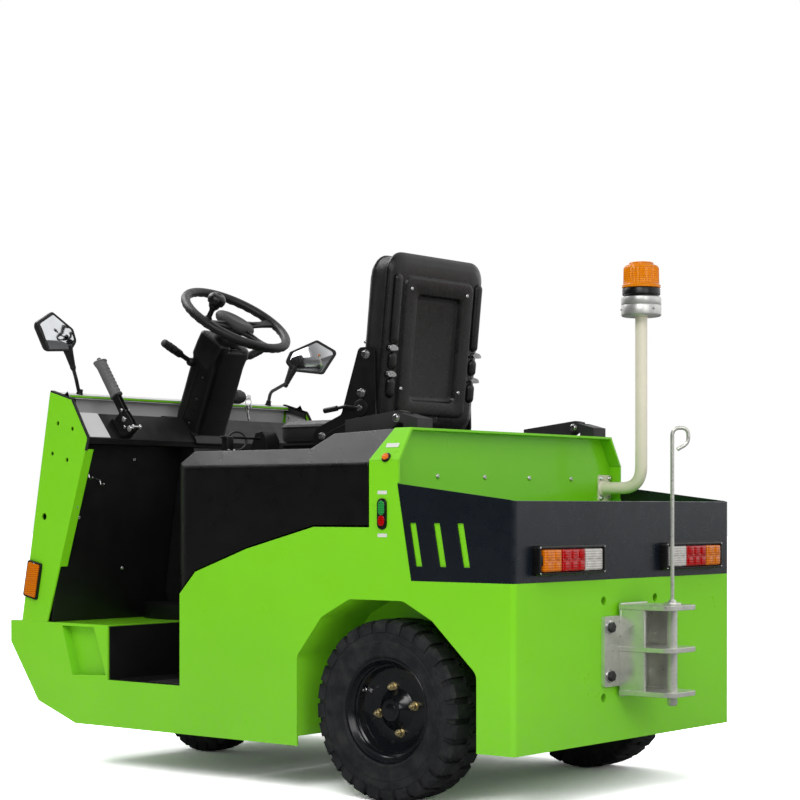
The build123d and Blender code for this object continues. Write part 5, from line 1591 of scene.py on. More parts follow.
@dataclass
class Handbrake:
    """Handbrake lever left of the column; sizes in millimetres."""

    out: float = 350.0
    station: float = 1462.0
    height: float = 958.0
    lean: float = atan2(0.567, 0.824)
    grip_from: float = 118.0
    grip_length: float = 125.0
    grip_radius: float = 16.6

    def build(self) -> None:
        """Build the lever, its bracket, pivots and ribbed grip."""
        shape = Shape()
        foot = at(self.station, self.out, self.height)
        lever = placing(foot, LEFTWARD, (sin(self.lean), 0, cos(self.lean)))
        view = side_view(self.out)
        cheek = ((1487, 933), (1530, 982), (1502, 1008), (1474, 992), (1450, 968), (1462, 950))
        for low in (-12, 8):
            shape.prism(rounded(cheek, 9, 4), low, low + 4, view, 0.8)
        shoe = ((1489.8, 935.1), (1529.8, 983.7), (1523, 990), (1482, 941))
        shape.prism(shoe, -22, 22, view, 1.2)
        # Lever of two plates, narrower towards the grip
        plate = ((-17, -10), (-19, 22), (-12, 60), (-11, 124), (11, 124), (12, 60), (18, 22), (15, -10))
        for across in (-8.5, 5.5):
            shape.prism(rounded(plate, 6, 4), across, across + 3, swung(swung(lever, 90, "Y"), 90), 0.6)
        shape.tube(through(lever, ((0, -11.5, 18), (0, -11.5, 60), (0, -10.5, 122))), 2.6, 10, 1)
        for up, back, radius in ((0, 2, 9), (36, -2, 8), (64, 4, 5.5), (16, -12, 5), (-4, 17, 6.5)):
            pin = swung(shifted(lever, -13, back, up), 90, "Y")
            shape.disc(radius * 0.55, 26, pin, 20, 1)
            head = ((0, 0), (radius - 1, 0), (radius, 1.2), (radius, 3), (radius - 1.4, 4.6), (0, 4.6))
            for low in (-2.5, 24):
                shape.turned(head, shifted(pin, 0, 0, low), 24, 1)
        self.make_grip(shape, lever)
        rod = [at(1486, self.out - 16, 952), at(1520, self.out - 30, 948), at(1560, self.out - 60, 944)]
        shape.tube(rod, 3.2, 10, 1, bend=20)
        names = ("dash_paint", "bright_steel", "grey_grip")
        add_piece("handbrake_dressed", shape, names, "handbrake", 34)

    def make_grip(self, shape: Shape, lever: Matrix) -> None:
        """Add the grip, with finger ridges on its front and a flared, slanted end.

        Args:
            shape: The shape to add to.
            lever: Frame of the lever.
        """
        loops = []
        count = 96
        for step in range(count + 1):
            share = step / count
            level = self.grip_from + self.grip_length * share
            ridge = 1.5 * max(0.0, sin(tau * share * 10)) if 0.06 < share < 0.88 else 0.0
            flare = 2.6 if share < 0.04 else (max(0.0, share - 0.88) * 34)
            slant = 6 if share > 0.97 else 0
            loop = []
            for x, y in ring(28, 1.0):
                radius = self.grip_radius + flare * (0.45 + 0.55 * abs(y)) + ridge * max(0.0, y)
                loop.append((radius * x * 0.96, radius * y * 1.05, level - slant * y))
            loops.append(loop)
        last = loops[-1]
        for shrink, rise in ((0.86, 3.0), (0.6, 4.5), (0.3, 5.0)):
            loops.append([(x * shrink, y * shrink, z + rise) for x, y, z in last])
        shape.loft(loops, lever, 2)
        button = ((0, 0), (6.5, 0), (6.5, 9), (5, 11), (0, 11.6))
        shape.turned(button, shifted(lever, 0, 0, 244), 24, 2)


@dataclass
class Pedals:
    """Brake and accelerator pedals with ribbed pads; sizes in millimetres."""

    places: tuple[float, ...] = (-270.0, -375.0)
    ribs: int = 7

    def build(self) -> None:
        """Build the pedals."""
        shape = Shape()
        rise = Vector((24, 0, 60)).normalized()
        pad = ((1345, 318), (1352, 312), (1376, 372), (1369, 378))
        arm = ((1360, 338), (1398, 350), (1398, 362), (1366, 350))
        for out in self.places:
            view = side_view(out)
            shape.prism(rounded(pad, 2.6, 3), -32, 32, view, 1.6)
            face = placing(at(1357, out, 348), LEFTWARD, (-rise.z, 0, rise.x))
            for index in range(self.ribs):
                shape.block((56, 4.2, 3.2), face, 1.0, shift=(0, -24 + index * 8, 4.2))
            shape.prism(rounded(arm, 3, 3), -6, 6, view, 1.2, 1)
            shape.disc(16, 3, rearward(1398, out, 356), 24, 1)
        add_piece("pedals_dressed", shape, ("pad_rubber", "chassis_paint"), "pedals", 34)


def in_cowl(pairs: Sequence[Pair]) -> list[Pair]:
    """Side outline from distances ahead of the step and heights above the nose, in millimetres."""
    return [(1402 + ahead, 404 + height) for ahead, height in pairs]


@dataclass
class Cowl:
    """Trims of the front cowl: rubbers, liners, bolts, hooks, side markers and head lamps; in millimetres."""

    half: float = 500.0
    wall: float = 5.0
    top: tuple[Pair, Pair] = ((243, 661), (148, 634))
    # Slope of the inside of the front panel: its station at the nose, and its run and rise
    panel_foot: float = 1640.0
    panel_run: float = -84.0
    panel_rise: float = 510.0

    def build(self) -> None:
        """Build the trims."""
        self.make_edges()
        self.make_liners()
        self.make_fittings()
        self.make_markers()
        self.make_head_lamps()

    def on_panel(self, height: float) -> float:
        """Station of the front panel's inside at a height above the nose."""
        return self.panel_foot + self.panel_run * height / self.panel_rise

    def make_edges(self) -> None:
        """Make the rubber beads along the top and rear edges of the flanks."""
        shape = Shape()
        (first, low), (second, high) = in_cowl(self.top)
        # Square to the edge, pointing up out of it
        normal = Vector((high - low, first - second)).normalized()

        def along(outer: float, inner: float) -> list[Pair]:
            """Strip along the edge between two distances out from it."""
            ends = ((first, low, outer), (second, high, outer), (second, high, inner), (first, low, inner))
            return [(ahead + normal.x * off, up + normal.y * off) for ahead, up, off in ends]

        rear = in_cowl(((148, 634), (81, 525), (92, 491)))
        for side in Side:
            way = side.value
            inner = way * (self.half - self.wall - 10)
            outer = way * (self.half - 1.0)
            near, far = sorted((-inner, -outer))
            shape.prism(along(5, -16), -max(inner, inner + way * 8, key=abs), -inner, side_view(), 1.0)
            shape.prism(along(5, 0.6), near, far, side_view(), 1.2)
            line = [at(station, way * (self.half - 2.5), height) for station, height in rear]
            shape.tube(line, 4.2, 10, bend=14)
        add_piece("cowl_edge_rubbers", shape, ("pad_rubber",))

    def make_liners(self) -> None:
        """Make the grey sheets inside the cowl, above the dash."""
        shape = Shape()
        view = side_view()
        reach = self.half - 14
        # Inside of the front panel, from the dash up to its flange, and a cap on the flange
        front = (
            (250, 600), (241.6, 645), (238, 650.5), (221, 646.5),
            (221, 644.5), (236.5, 648), (239.4, 643), (247.8, 600),
        )
        shape.prism(in_cowl(front), -reach, reach, view, 0.6)
        cap = ((243.5, 662.2), (220, 655.4), (220, 653.8), (243.5, 660.6))
        shape.prism(in_cowl(cap), -reach, reach, view, 0.4)
        sheet = in_cowl(((240, 604), (236, 648), (152, 624), (98, 538), (146, 602)))
        for side in Side:
            way = side.value
            inner = -way * (self.half - self.wall - 0.4)
            shape.prism(rounded(sheet, 6, 3), *sorted((inner, inner + way * 1.6)), view, 0.5)
            for station, level in in_cowl(((226, 622), (170, 608))):
                shape.screw(outward(station, way * (self.half - self.wall - 2), level, -way), 5, 3, 1)
        # Plate on the slope of the dash, between the left flank and the handbrake
        plate = in_cowl(((141.8, 598.6), (85.8, 528.1), (84.0, 529.6), (140.0, 600.1)))
        shape.prism(plate, -489, -412, view, 0.6)
        add_piece("cowl_liners", shape, ("liner_grey", "bright_steel"))

    def make_fittings(self) -> None:
        """Make the silver bolts on the dash and kick panel, and the bag hooks."""
        shape = Shape()
        square = Vector((-73, 0, 60)).normalized()
        # place out, distance ahead of the step, height above the nose
        dash = (
            (430, 122, 556), (392, 112, 540), (300, 124, 557), (238, 112, 538),
            (-300, 124, 557), (-420, 112, 540),
        )
        for out, ahead, height in dash:
            (station, level), = in_cowl(((ahead, height),))
            shape.bolt(placing(at(station, out, level) + square * 4 * MM, LEFTWARD, square), 11, 5, 8)
        # place out, height above the nose
        kick = ((440, 480), (250, 470), (440, 300), (250, 150), (-440, 480), (-440, 300), (-250, 470))
        for out, height in kick:
            place = at(self.on_panel(height) - 0.6, out, 404 + height)
            shape.screw(placing(place, LEFTWARD, (-self.panel_rise, 0, self.panel_run)), 5.5, 3.2)
        for out, height in ((436, 430), (390, 412), (-436, 430)):
            root = at(self.on_panel(height), out, 404 + height)
            turns = ((0, 0, 0), (-16, 0, -4), (-20, 0, -22), (-34, 0, -14))
            shape.tube([root + Vector(turn) * MM for turn in turns], 2.4, 8, bend=7)
        for side in Side:
            for station, level in in_cowl(((148, 330), (204, 190))):
                spot = placing(at(station, side.value * 482, level), AHEAD, (-0.94, 0, -0.34))
                shape.screw(spot, 4.5, 2.6)
        add_piece("dash_bolts_and_hooks", shape, ("bright_steel",))

    def make_markers(self) -> None:
        """Make the side markers: a black frame with a ribbed amber lens."""
        shape = Shape()
        turn = radians(12)
        (station, level), = in_cowl(((315, 120),))
        base = (
            (59, 108, 7, 0), (59, 108, 7, 5.5), (57, 106, 6.4, 8),
            (53, 102, 5.2, 8.6), (50, 99, 4.3, 6.5), (50, 99, 4.3, 4),
        )
        lens = ((49, 98, 6, 2), (49, 98, 6, 7), (47, 95, 6, 10.2), (42, 89, 6, 11.8), (30, 74, 6, 12.2))
        for side in Side:
            place = at(station, side.value * self.half, level)
            where = placing(place, (cos(turn), 0, sin(turn)), (0, side.value, 0))
            shape.stack(base, where)
            shape.stack(lens, where, 1)
            for up in (-34, -17, 0, 17, 34):
                shape.block((36, 5, 2.2), where, 0.8, layer=1, shift=(0, up, 11.6))
            for up in (-47, 47):
                shape.screw(shifted(where, 0, up, 8.2), 3.2, 2.0, 2)
        names = ("dash_paint", "amber_lamp", "bright_steel")
        add_piece("side_markers_dressed", shape, names, "side_markers", 34)

    def make_head_lamps(self) -> None:
        """Make the head lamps: bezel, reflector, bulb and a fluted glass."""
        shape = Shape()
        slope = atan2(123, 661)
        station = 1402 + 366 - 236 * 123 / 661
        bezel = ((72, 0), (72, 22), (70, 26), (66, 28), (62, 27), (59, 22), (59, 0))
        bowl = ((59, 4), (50, 4), (26, 2), (10, 1), (0, 1), (0, 0), (59, 0))
        glass = (
            (60, 20), (60, 24), (54, 29), (42, 32.5), (26, 34.6), (10, 35.6),
            (0, 36), (0, 33), (26, 31.6), (42, 29.5), (54, 26),
        )
        for side in Side:
            where = placing(at(station, side.value * 330, 640), LEFTWARD, (cos(slope), 0, sin(slope)))
            shape.turned(bezel, where, 64)
            shape.turned(bowl, where, 48, 1)
            shape.turned(((0, 1), (7, 1), (7, 12), (4, 16), (0, 17)), where, 24, 1)
            shape.turned(glass, where, 64, 2)
            for across in range(-44, 45, 11):
                reach = (50**2 - across**2) ** 0.5
                rib = (across, 0, 33.6 - across**2 * 0.0022)
                shape.block((2.2, 2 * reach, 1.6), where, 0.5, layer=2, shift=rib)
        names = ("dash_paint", "bright_steel", "lamp_glass")
        add_piece("head_lamps_dressed", shape, names, "headlamps", 34)


@dataclass
class Mirrors:
    """Driving mirrors on bent stalks; sizes in millimetres."""

    tip_out: float = 650.0
    half_width: float = 91.0
    height: float = 1228.0
    # side, station of the head, yaw towards the driver in degrees
    heads: tuple[tuple[Side, float, float], ...] = ((Side.LEFT, 1545.0, -10.0), (Side.RIGHT, 1594.0, 29.0))
    outline: tuple[Pair, ...] = ((-66, -50), (40, -58), (91, 18), (18, 56), (-75, 14), (-91, -20))
    stalk_end: tuple[Pair, ...] = ((-84, -88), (-60, -36))
    # share of the outline, depth
    case: tuple[Pair, ...] = (
        (0.84, -2.5), (0.865, -0.4), (0.96, 0), (1.0, -2.5), (0.995, -8),
        (0.95, -16), (0.86, -23), (0.7, -28), (0.45, -31.5), (0.2, -32.5),
    )
    glass: tuple[Pair, ...] = ((0.86, -4), (0.86, -1.4), (0.85, -1.1))

    def build(self) -> None:
        """Build both mirrors."""
        shape = Shape()
        for side, station, yaw in self.heads:
            way, turn = side.value, radians(yaw)
            middle = way * (self.tip_out - self.half_width * cos(turn))
            place = at(station, middle, self.height)
            across = (way * sin(turn), way * cos(turn), 0)
            where = placing(place, across, (-cos(turn), sin(turn), 0))
            self.make_head(shape, way, where)
            self.make_stalk(shape, way, where)
        names = ("grip_plastic", "mirror_glass", "bright_steel")
        add_piece("mirrors_dressed", shape, names, "mirrors", 40)

    def make_head(self, shape: Shape, way: int, where: Matrix) -> None:
        """Add one mirror's case and glass.

        Args:
            shape: The shape to add to.
            way: Sign of its side.
            where: Frame of its head, whose Z leads to the driver.
        """
        # Outline turned the right way up in the head's own frame
        outline = rounded([(out, -way * up) for out, up in self.outline], 13, 6)
        middle = Vector((-4, way * 4))
        for layer, rows in enumerate((self.case, self.glass)):
            loops = []
            for share, depth in rows:
                loops.append([(*middle.lerp(Vector(corner), share), depth) for corner in outline])
            shape.loft(loops, where, layer)

    def make_stalk(self, shape: Shape, way: int, where: Matrix) -> None:
        """Add one mirror's stalk with its socket and foot.

        Args:
            shape: The shape to add to.
            way: Sign of its side.
            where: Frame of its head.
        """
        low, high = through(where, [(out, -way * up, -13) for out, up in self.stalk_end])
        foot = at(1633, way * 400, 1061.6)
        shape.tube([foot, foot + Vector((0, way * 12, 44)) * MM, low, high], 5.4, 14, bend=30)
        neck = (high - low).normalized()
        length = (high - low).length / MM
        collar = placing(low, neck.orthogonal().normalized(), neck)
        cone = (
            (0, -14), (7, -14), (7.6, -6), (9, 4), (12, length * 0.55),
            (15, length * 0.9), (15, length + 4), (0, length + 4),
        )
        shape.turned(cone, collar, 28)
        shape.turned(((7, -10), (8.6, -9), (8.6, -4), (7, -3)), collar, 24)
        base = placing(foot, LEFTWARD, (-7, 0, 23))
        shape.turned(((0, -8), (11, -8), (11, -2), (9.5, 4), (8, 10), (8, 16), (0, 16)), base, 24)
        shape.prism(flat(46, 17, 7), -8, -4.5, base, 1.0)
        for shift in (-16, 16):
            shape.bolt(shifted(base, shift, 0, -4.5), 8, 4, layer=2)


@dataclass
class RearLamps:
    """Rear lamps: framed housings with amber, red and clear blocks; sizes in millimetres."""

    out: float = 285.0
    height: float = 606.0
    width: float = 284.0
    tall: float = 72.0

    def build(self) -> None:
        """Build the lamps."""
        housings, lenses = Shape(), Shape()
        for side in Side:
            where = placing(at(0, side.value * self.out, self.height), (0, side.value, 0), ASTERN)
            self.make_housing(housings, where)
            self.make_lenses(lenses, where)
        names = ("moulding", "bright_steel")
        add_piece("rear_lamp_housings", housings, names, "lamp_housings", 34)
        names = ("amber_lamp", "red_lamp", "clear_lamp")
        add_piece("rear_lamp_lenses", lenses, names, "lamp_lenses", 34)

    def make_housing(self, shape: Shape, where: Matrix) -> None:
        """Add one housing: a frame with a notch at its outer end.

        Args:
            shape: The shape to add to.
            where: Frame of the lamp, X outward and Z to the rear.
        """
        width, tall = self.width, self.tall
        # taken off the width and height, corner radius, level
        rims = ((0, 8, 0), (0, 8, 19), (2.4, 7, 21.4), (6, 6, 22), (13, 4, 22), (15, 3, 20.5), (15, 3, 6))
        shape.stack([(width - less, tall - less, radius, level) for less, radius, level in rims], where)
        shape.block((8, 24, 15), where, 1.4, shift=(width / 2 - 12, 0, 14))
        for across in (-width / 2 + 5, width / 2 - 5):
            for up in (-tall / 2 + 5, tall / 2 - 5):
                shape.screw(shifted(where, across, up, 21.8), 2.4, 1.4, 1)

    def make_lenses(self, shape: Shape, where: Matrix) -> None:
        """Add the lens blocks of one lamp, each with raised bosses.

        Args:
            shape: The shape to add to.
            where: Frame of the lamp.
        """
        tall = self.tall - 19
        # place outward, width, columns of bosses, finish
        for across, width, columns, layer in ((90, 72, 2, 0), (2, 98, 3, 1), (-86, 74, 2, 2)):
            block = ((0, 8), (0, 22), (2.5, 24.5), (5, 25))
            rows = [(width - less, tall - less, 3, level) for less, level in block]
            shape.stack(rows, where, layer, (across, 0), 4)
            pitch = width / columns
            size = min(pitch, tall / 2) - 4
            boss = ((size, 24.6, 5), (size - 1, 26.2, 5), (size - 4, 27.4, 4), (size * 0.5, 28, 3))
            rows = [(wide, wide, radius, level) for wide, level, radius in boss]
            for column in range(columns):
                for row in (-1, 1):
                    centre = (across + (column + 0.5) * pitch - width / 2, row * tall / 4)
                    shape.stack(rows, where, layer, centre, 4)


@dataclass
class Beacon:
    """Beacon on its bent pole; sizes in millimetres."""

    station: float = 252.0
    out: float = -452.0
    wall: float = 386.0
    foot_height: float = 788.0
    top: float = 1267.0
    radius: float = 17.0
    bend: float = 62.0
    # middle of the pole's foot plate
    plate_out: float = -463.7
    flutes: int = 30

    def build(self) -> None:
        """Build the pole, the cup and the lens."""
        self.make_pole()
        self.make_cup()
        self.make_lens()

    def head(self) -> Matrix:
        """Frame at the pole's top."""
        return upward(self.station, self.out, self.top)

    def make_pole(self) -> None:
        """Make the bent pole with its foot plate, weld and bolts."""
        pole = Shape()
        low = self.foot_height
        corners = ((self.wall - 1, low), (self.station, low), (self.station, self.top))
        path = [at(station, self.out, height) for station, height in corners]
        pole.tube(path, self.radius, 36, bend=self.bend, steps=14)
        plate = flat(60, 74, 5, (self.plate_out, low))
        pole.prism(plate, -5.2, 0, forward(self.wall, 0, 0), 1.0)
        weld = rearward(self.wall - 5, self.out, low)
        pole.turned(((16.5, 0), (23, 0), (21, 2.5), (18, 5), (16.5, 5.5)), weld, 40)
        for across in (-22, 22):
            for up in (-28, 28):
                spot = rearward(self.wall - 5.2, self.plate_out + across, low + up)
                pole.bolt(spot, 10, 5.5, 7.5, 1, 1)
        pole.turned(((16.6, -3), (19, -3), (19, 0), (16.6, 0)), self.head(), 32)
        names = ("cream_paint", "bright_steel")
        add_piece("beacon_pole_dressed", pole, names, "beacon_pole", 34)

    def make_cup(self) -> None:
        """Make the cast cup and the black ring on it."""
        cup = Shape()
        where = self.head()
        profile = (
            (0, 0), (50, 0), (53.5, 1), (55.6, 3.4), (56, 6), (56, 29), (55.4, 30.4), (54, 31),
            (54, 32), (55.4, 32.6), (56, 34), (56, 50), (55.2, 53), (52, 55), (0, 55),
        )
        cup.turned(profile, where, 72)
        collar = (
            (0, 55), (46, 55), (46, 59.6), (51.6, 60), (53, 61.5), (53, 76), (51.5, 79), (48, 80), (0, 80),
        )
        cup.turned(collar, where, 72, 1)
        for x, y in ring(3, 56, 40):
            facing = Vector((x, y, 0)).to_track_quat("Z", "Y").to_matrix().to_4x4()
            cup.screw(shifted(where, x * 0.985, y * 0.985, 20) @ facing, 4.0, 3.0, 2)
        names = ("cast_alloy", "moulding", "bright_steel")
        add_piece("beacon_cup_dressed", cup, names, "beacon_base", 34)

    def make_lens(self) -> None:
        """Make the lens, fluted inside its wall and stepped at its top, with its light inside."""
        lens = Shape()
        sides = 120
        # radius, height, depth of the flutes
        rows = (
            (40, 80, 0), (52, 80, 0), (54, 81.5, 0), (54, 87, 0), (52.5, 89, 0), (50, 90.5, 0),
            (49.2, 93, 1.3), (48.6, 112, 1.3), (48.2, 134, 1.3), (47.2, 138.5, 0.8), (44, 142.5, 0),
            (38, 144.5, 0), (35, 146, 0), (34, 150, 0), (32, 151.7, 0), (28, 152, 0), (10, 152, 0),
            (1, 151.6, 0),
        )
        loops = []
        for radius, height, flute in rows:
            waves = [1 + flute / radius * cos(self.flutes * tau * step / sides) for step in range(sides)]
            circle = ring(sides, radius)
            loops.append([(x * wave, y * wave, height) for (x, y), wave in zip(circle, waves)])
        lens.loft(loops, self.head())
        add_piece("beacon_lens_dressed", lens, ("amber_lens",), "beacon_lens", 34)
        core = Shape()
        core.turned(((0, 80.2), (16, 80.2), (16, 118), (13, 124), (0, 124)), self.head(), 24)
        add_piece("beacon_light", core, ("clear_lamp",))


@dataclass
class Coupling:
    """Stepped tow coupling with its drop pin; sizes in millimetres."""

    half: float = 65.0
    plate: float = 12.0
    reach: float = 165.0
    base: float = 10.0
    corner: float = 28.0
    bore: float = 14.5
    levels: Triple = (268.0, 378.0, 483.0)
    pin_at: float = -125.0
    bolt_out: float = 108.0
    bolt_levels: Pair = (434.0, 312.0)
    rod_top: float = 870.0

    def build(self) -> None:
        """Build the coupling and its pin."""
        self.make_bracket()
        self.make_pin()
        self.make_nuts()

    def make_bracket(self) -> None:
        """Make the base plate, the three jaw plates with their webs and welds, and the bolts."""
        shape = Shape()
        low, middle, high = self.levels
        rear = rearward(0, 0, sum(self.bolt_levels) / 2)
        shape.prism(flat(262, 176, 7), 0.2, self.base, rear, 1.2)
        for level in self.levels:
            self.add_plate(shape, upward(0, 0, level))
        centre = upward(0, 0, (low + high) / 2)
        for side in Side:
            box = (73, 8, high - low - self.plate + 0.6)
            shape.block(box, centre, 0.8, shift=(-self.base - 36, side.value * (self.half - 6), 0))
        shape.block((4, 2 * self.half - 2, high - low), centre, 0.5, shift=(-self.base - 2, 0, 0))
        for level in self.levels:
            for step in (-1, 1):
                height = level + step * (self.plate / 2 + 1.6)
                if low - 1 < height < high + 1 or step * (level - (low + high) / 2) > 0:
                    ends = [at(-self.base - 1.2, way * (self.half - 3), height) for way in (-1, 1)]
                    self.bead(shape, *ends)
        for side in Side:
            for first, second in ((low, middle), (middle, high)):
                out = side.value * (self.half - 11.0)
                top, bottom = second - self.plate / 2 - 2, first + self.plate / 2 + 2
                self.bead(shape, at(-self.base - 5, out, bottom), at(-self.base - 5, out, top))
                for height in (top, bottom):
                    self.bead(shape, at(-self.base - 4, out, height), at(-self.base - 70, out, height))
        for side in Side:
            for level in self.bolt_levels:
                spot = rearward(-self.base, side.value * self.bolt_out, level)
                shape.turned(((0, 0), (17, 0), (17, 2.4), (16, 3), (0, 3)), spot, 32, 2)
                shape.bolt(shifted(spot, 0, 0, 3), 24, 9.5, layer=1)
                shape.turned(((0, 12), (7, 12), (6.4, 12.9), (0, 12.9)), spot, 20, 1)
        names = ("zinc_plate", "black_bolt", "bright_steel")
        add_piece("coupling_dressed", shape, names, "coupling_bracket", 34)

    def add_plate(self, shape: Shape, plan: Matrix) -> None:
        """Add a jaw plate with rounded rims and the bore of the pin through it.

        Args:
            shape: The shape to add to.
            plan: Frame at its middle height.
        """
        outline = [(-self.base + 1, self.half), (-self.base + 1, -self.half)]
        along, across = self.corner - self.reach, self.half - self.corner
        for way in (-1, 1):
            for step in range(7):
                turn = radians(90 * step / 6 if way < 0 else 90 - 90 * step / 6)
                outline.append((along - self.corner * sin(turn), way * (across + self.corner * cos(turn))))
        angles = [atan2(y, x - self.pin_at) for x, y in outline]
        bore = [(self.pin_at + self.bore * cos(angle), self.bore * sin(angle)) for angle in angles]
        centre = Vector((self.pin_at, 0))
        half = self.plate / 2
        # outline, its inset towards the metal, level
        rows = (
            (outline, 0.0, 1 - half), (outline, 0.0, half - 1), (outline, 1.0, half), (bore, -1.0, half),
            (bore, 0.0, half - 1), (bore, 0.0, 1 - half), (bore, -1.0, -half), (outline, 1.0, -half),
        )
        loops = []
        for points, inset, level in rows:
            loop = []
            for x, y in points:
                away = (Vector((x, y)) - centre).normalized() * inset
                loop.append((x - away.x, y - away.y, level))
            loops.append(loop)
        shape.loft(loops, plan, closed=True)

    @staticmethod
    def bead(shape: Shape, start: Vector, end: Vector) -> None:
        """Add a rippled weld bead.

        Args:
            shape: The shape to add to.
            start: Where it starts, in metres.
            end: Where it ends.
        """
        ripple = 2.4 * MM
        count = max(6, int((end - start).length / ripple))
        heading = (end - start).normalized()
        across = heading.orthogonal().normalized()
        side = heading.cross(across)
        loops = []
        for step in range(count + 1):
            middle = start.lerp(end, step / count) / MM
            loops.append([middle + across * x + side * y for x, y in ring(8, 3.0 if step % 2 else 2.5)])
        shape.loft(loops)

    def make_pin(self) -> None:
        """Make the drop pin: a grooved shank, a collar, and the lifting rod with its open loop."""
        shape = Shape()
        foot = self.levels[0] - 31
        top = self.levels[2] + self.plate / 2
        shank = (
            (0, foot), (8, foot), (11.6, foot + 2.4), (13, foot + 6), (13, foot + 16), (11.4, foot + 17),
            (11.4, foot + 20), (13, foot + 21), (13, top - 4), (12.6, top + 0.4), (22, top + 0.4),
            (22.2, top + 2), (21, top + 6.2), (12, top + 7), (10, top + 9), (7, top + 14), (0, top + 14),
        )
        shape.turned(shank, upward(self.pin_at, 0, 0), 44)
        turn = radians(45)
        path = [at(self.pin_at, 0, top + 4)]
        # across, above the top of the straight rod
        for across, up in ((0, 62), (41, 62), (41, 24), (13, 8)):
            path.append(at(self.pin_at - cos(turn) * across, -sin(turn) * across, self.rod_top + up))
        shape.tube(path, 5.0, 16, bend=26, steps=12)
        names = ("zinc_plate",)
        add_piece("coupling_pin_dressed", shape, names, "coupling_pin", 34, "tow_pin")

    def make_nuts(self) -> None:
        """Make the weld nuts behind the spare holes of the rear plate."""
        shape = Shape()
        for side in Side:
            for level in (500.0, 258.0):
                spot = forward(7, side.value * 120, level)
                shape.turned(((11.6, 0), (19, 0), (19, 10), (11.6, 10)), spot, 32)
        add_piece("weld_nuts", shape, ("leaf_green_paint",))


@dataclass
class Fittings:
    """Small fittings: labels, button, charge light, grab bar, hinges, mat and bolts; in millimetres."""

    bar_at: float = 1060.0
    bar_foot: float = 883.0
    mat_at: float = 1192.0
    mat_ribs: int = 31

    def build(self) -> None:
        """Build the fittings."""
        self.make_panel()
        self.make_grab_bar()
        self.make_hinges()
        self.make_floor_mat()
        self.make_deck_bolts()

    def make_panel(self) -> None:
        """Make the blank labels, the button and the charge light on the left flank."""
        shape = Shape()
        face = placing(at(0, 500, 0), ASTERN, LEFTWARD)
        for height in (770, 664):
            shape.prism(flat(30, 9, 2, (-402, height)), 0, 0.9, face, 0.3)
        slope = placing(at(393, 488, 870), ASTERN, (0, 82, 50))
        shape.prism(flat(40, 12, 2, (6, 20)), 0, 0.9, slope, 0.3)
        light = shifted(face, -402, 717)
        frame_rows = ((30, 78, 0), (30, 78, 3), (28, 76, 4.6), (24, 72, 5))
        upper = ((20, 36, 4.6), (20, 36, 6), (17, 33, 7.4), (10, 26, 8))
        lower = ((20, 26, 4.6), (20, 26, 6), (17, 23, 7.4), (10, 16, 8))
        for layer, rows, up in ((1, frame_rows, 0), (2, upper, 15), (3, lower, -17)):
            lens = [(wide, tall, wide / 2 - 0.5, level) for wide, tall, level in rows]
            shape.stack(lens, light, layer, (0, up))
        button = placing(at(392, 496, 856), ASTERN, (0, 82, 50))
        shape.turned(((0, 0), (13, 0), (13, 3), (11, 4.5), (0, 4.5)), button, 32, 1)
        shape.turned(((0, 4), (9, 4), (9, 7.5), (7.4, 9.6), (0, 10.4)), button, 32, 4)
        names = ("blank_label", "moulding", "light_green", "red_lamp", "button_orange")
        add_piece("flank_panel_fittings", shape, names)

    def make_grab_bar(self) -> None:
        """Make the grab bar with its feet, the wedge block and the cable ring at the front of the hood."""
        shape = Shape()
        station, top = self.bar_at, self.bar_foot
        # size, place out, height above the foot, bevel
        blocks = (((22, 26, 44), 372, 22, 2.5), ((36, 44, 5), 372, 2.5, 1.5), ((12, 190, 7), 300, 42, 2.0))
        for size, out, up, bevel in blocks:
            shape.block(size, upward(0, 0, top + up), bevel, shift=(station, out, 0))
        wedge = ((-30, 0), (30, 0), (30, 20), (12, 58), (-14, 62), (-30, 36))
        shape.prism([(x, top + up) for x, up in wedge], -248, -196, outward(station, 0, 0, -1), 2.0)
        for shift in (-9, 9):
            spot = placing(at(station + shift, 222, top + 57), LEFTWARD, (0.1, 0, 1))
            shape.block((34, 5, 8), spot, 1.2)
        for out in (362, 382):
            shape.bolt(placing(at(station - 14, out, top + 5), LEFTWARD, UPWARD), 8, 4, layer=1)
        loop = placing(at(station + 12, 322, top + 34), LEFTWARD, (-0.8, 0.5, 0.2))
        shape.ring_tube(through(loop, [(x, y, 0) for x, y in ring(28, 26)]), 3.2, 10)
        names = ("dash_paint", "bright_steel")
        add_piece("hood_grab_bar", shape, names, body="tilting_hood")

    def make_hinges(self) -> None:
        """Make the pivot heads and the bolts of the hood hinges."""
        shape = Shape()
        head = ((0, 0), (11, 0), (11, 1.6), (8.5, 2.4), (8.5, 6), (7, 7.4), (0, 7.4))
        for side in Side:
            middle = side.value * 393
            for way in (1, -1):
                shape.turned(head, outward(420, middle + way * 30, 958, way), 28)
            for station in (366, 390):
                shape.bolt(upward(station, middle + side.value * 22, 952), 11, 5, 8)
        add_piece("hinge_bolts", shape, ("bright_steel",))

    def make_floor_mat(self) -> None:
        """Make the ribbed rubber mat in the footwell."""
        shape = Shape()
        shape.block((128, 960, 3), upward(0, 0, 252.6), 1.0, shift=(self.mat_at, 0, 0))
        for index in range(self.mat_ribs):
            place = (self.mat_at, index * 30 - 450, 0)
            shape.block((118, 5, 2.4), upward(0, 0, 255), 0.8, shift=place)
        add_piece("footwell_mat", shape, ("pad_rubber",))

    def make_deck_bolts(self) -> None:
        """Make the domed bolts that hold the guard band and the deck."""
        shape = Shape()
        for side in Side:
            for station in (60, 180, 300):
                shape.screw(upward(station, side.value * 470, 557), 8, 4)
        for out in (300, 100, -100, -300):
            shape.screw(rearward(386, out, 812), 7, 3.5)
        add_piece("deck_bolts", shape, ("bright_steel",))


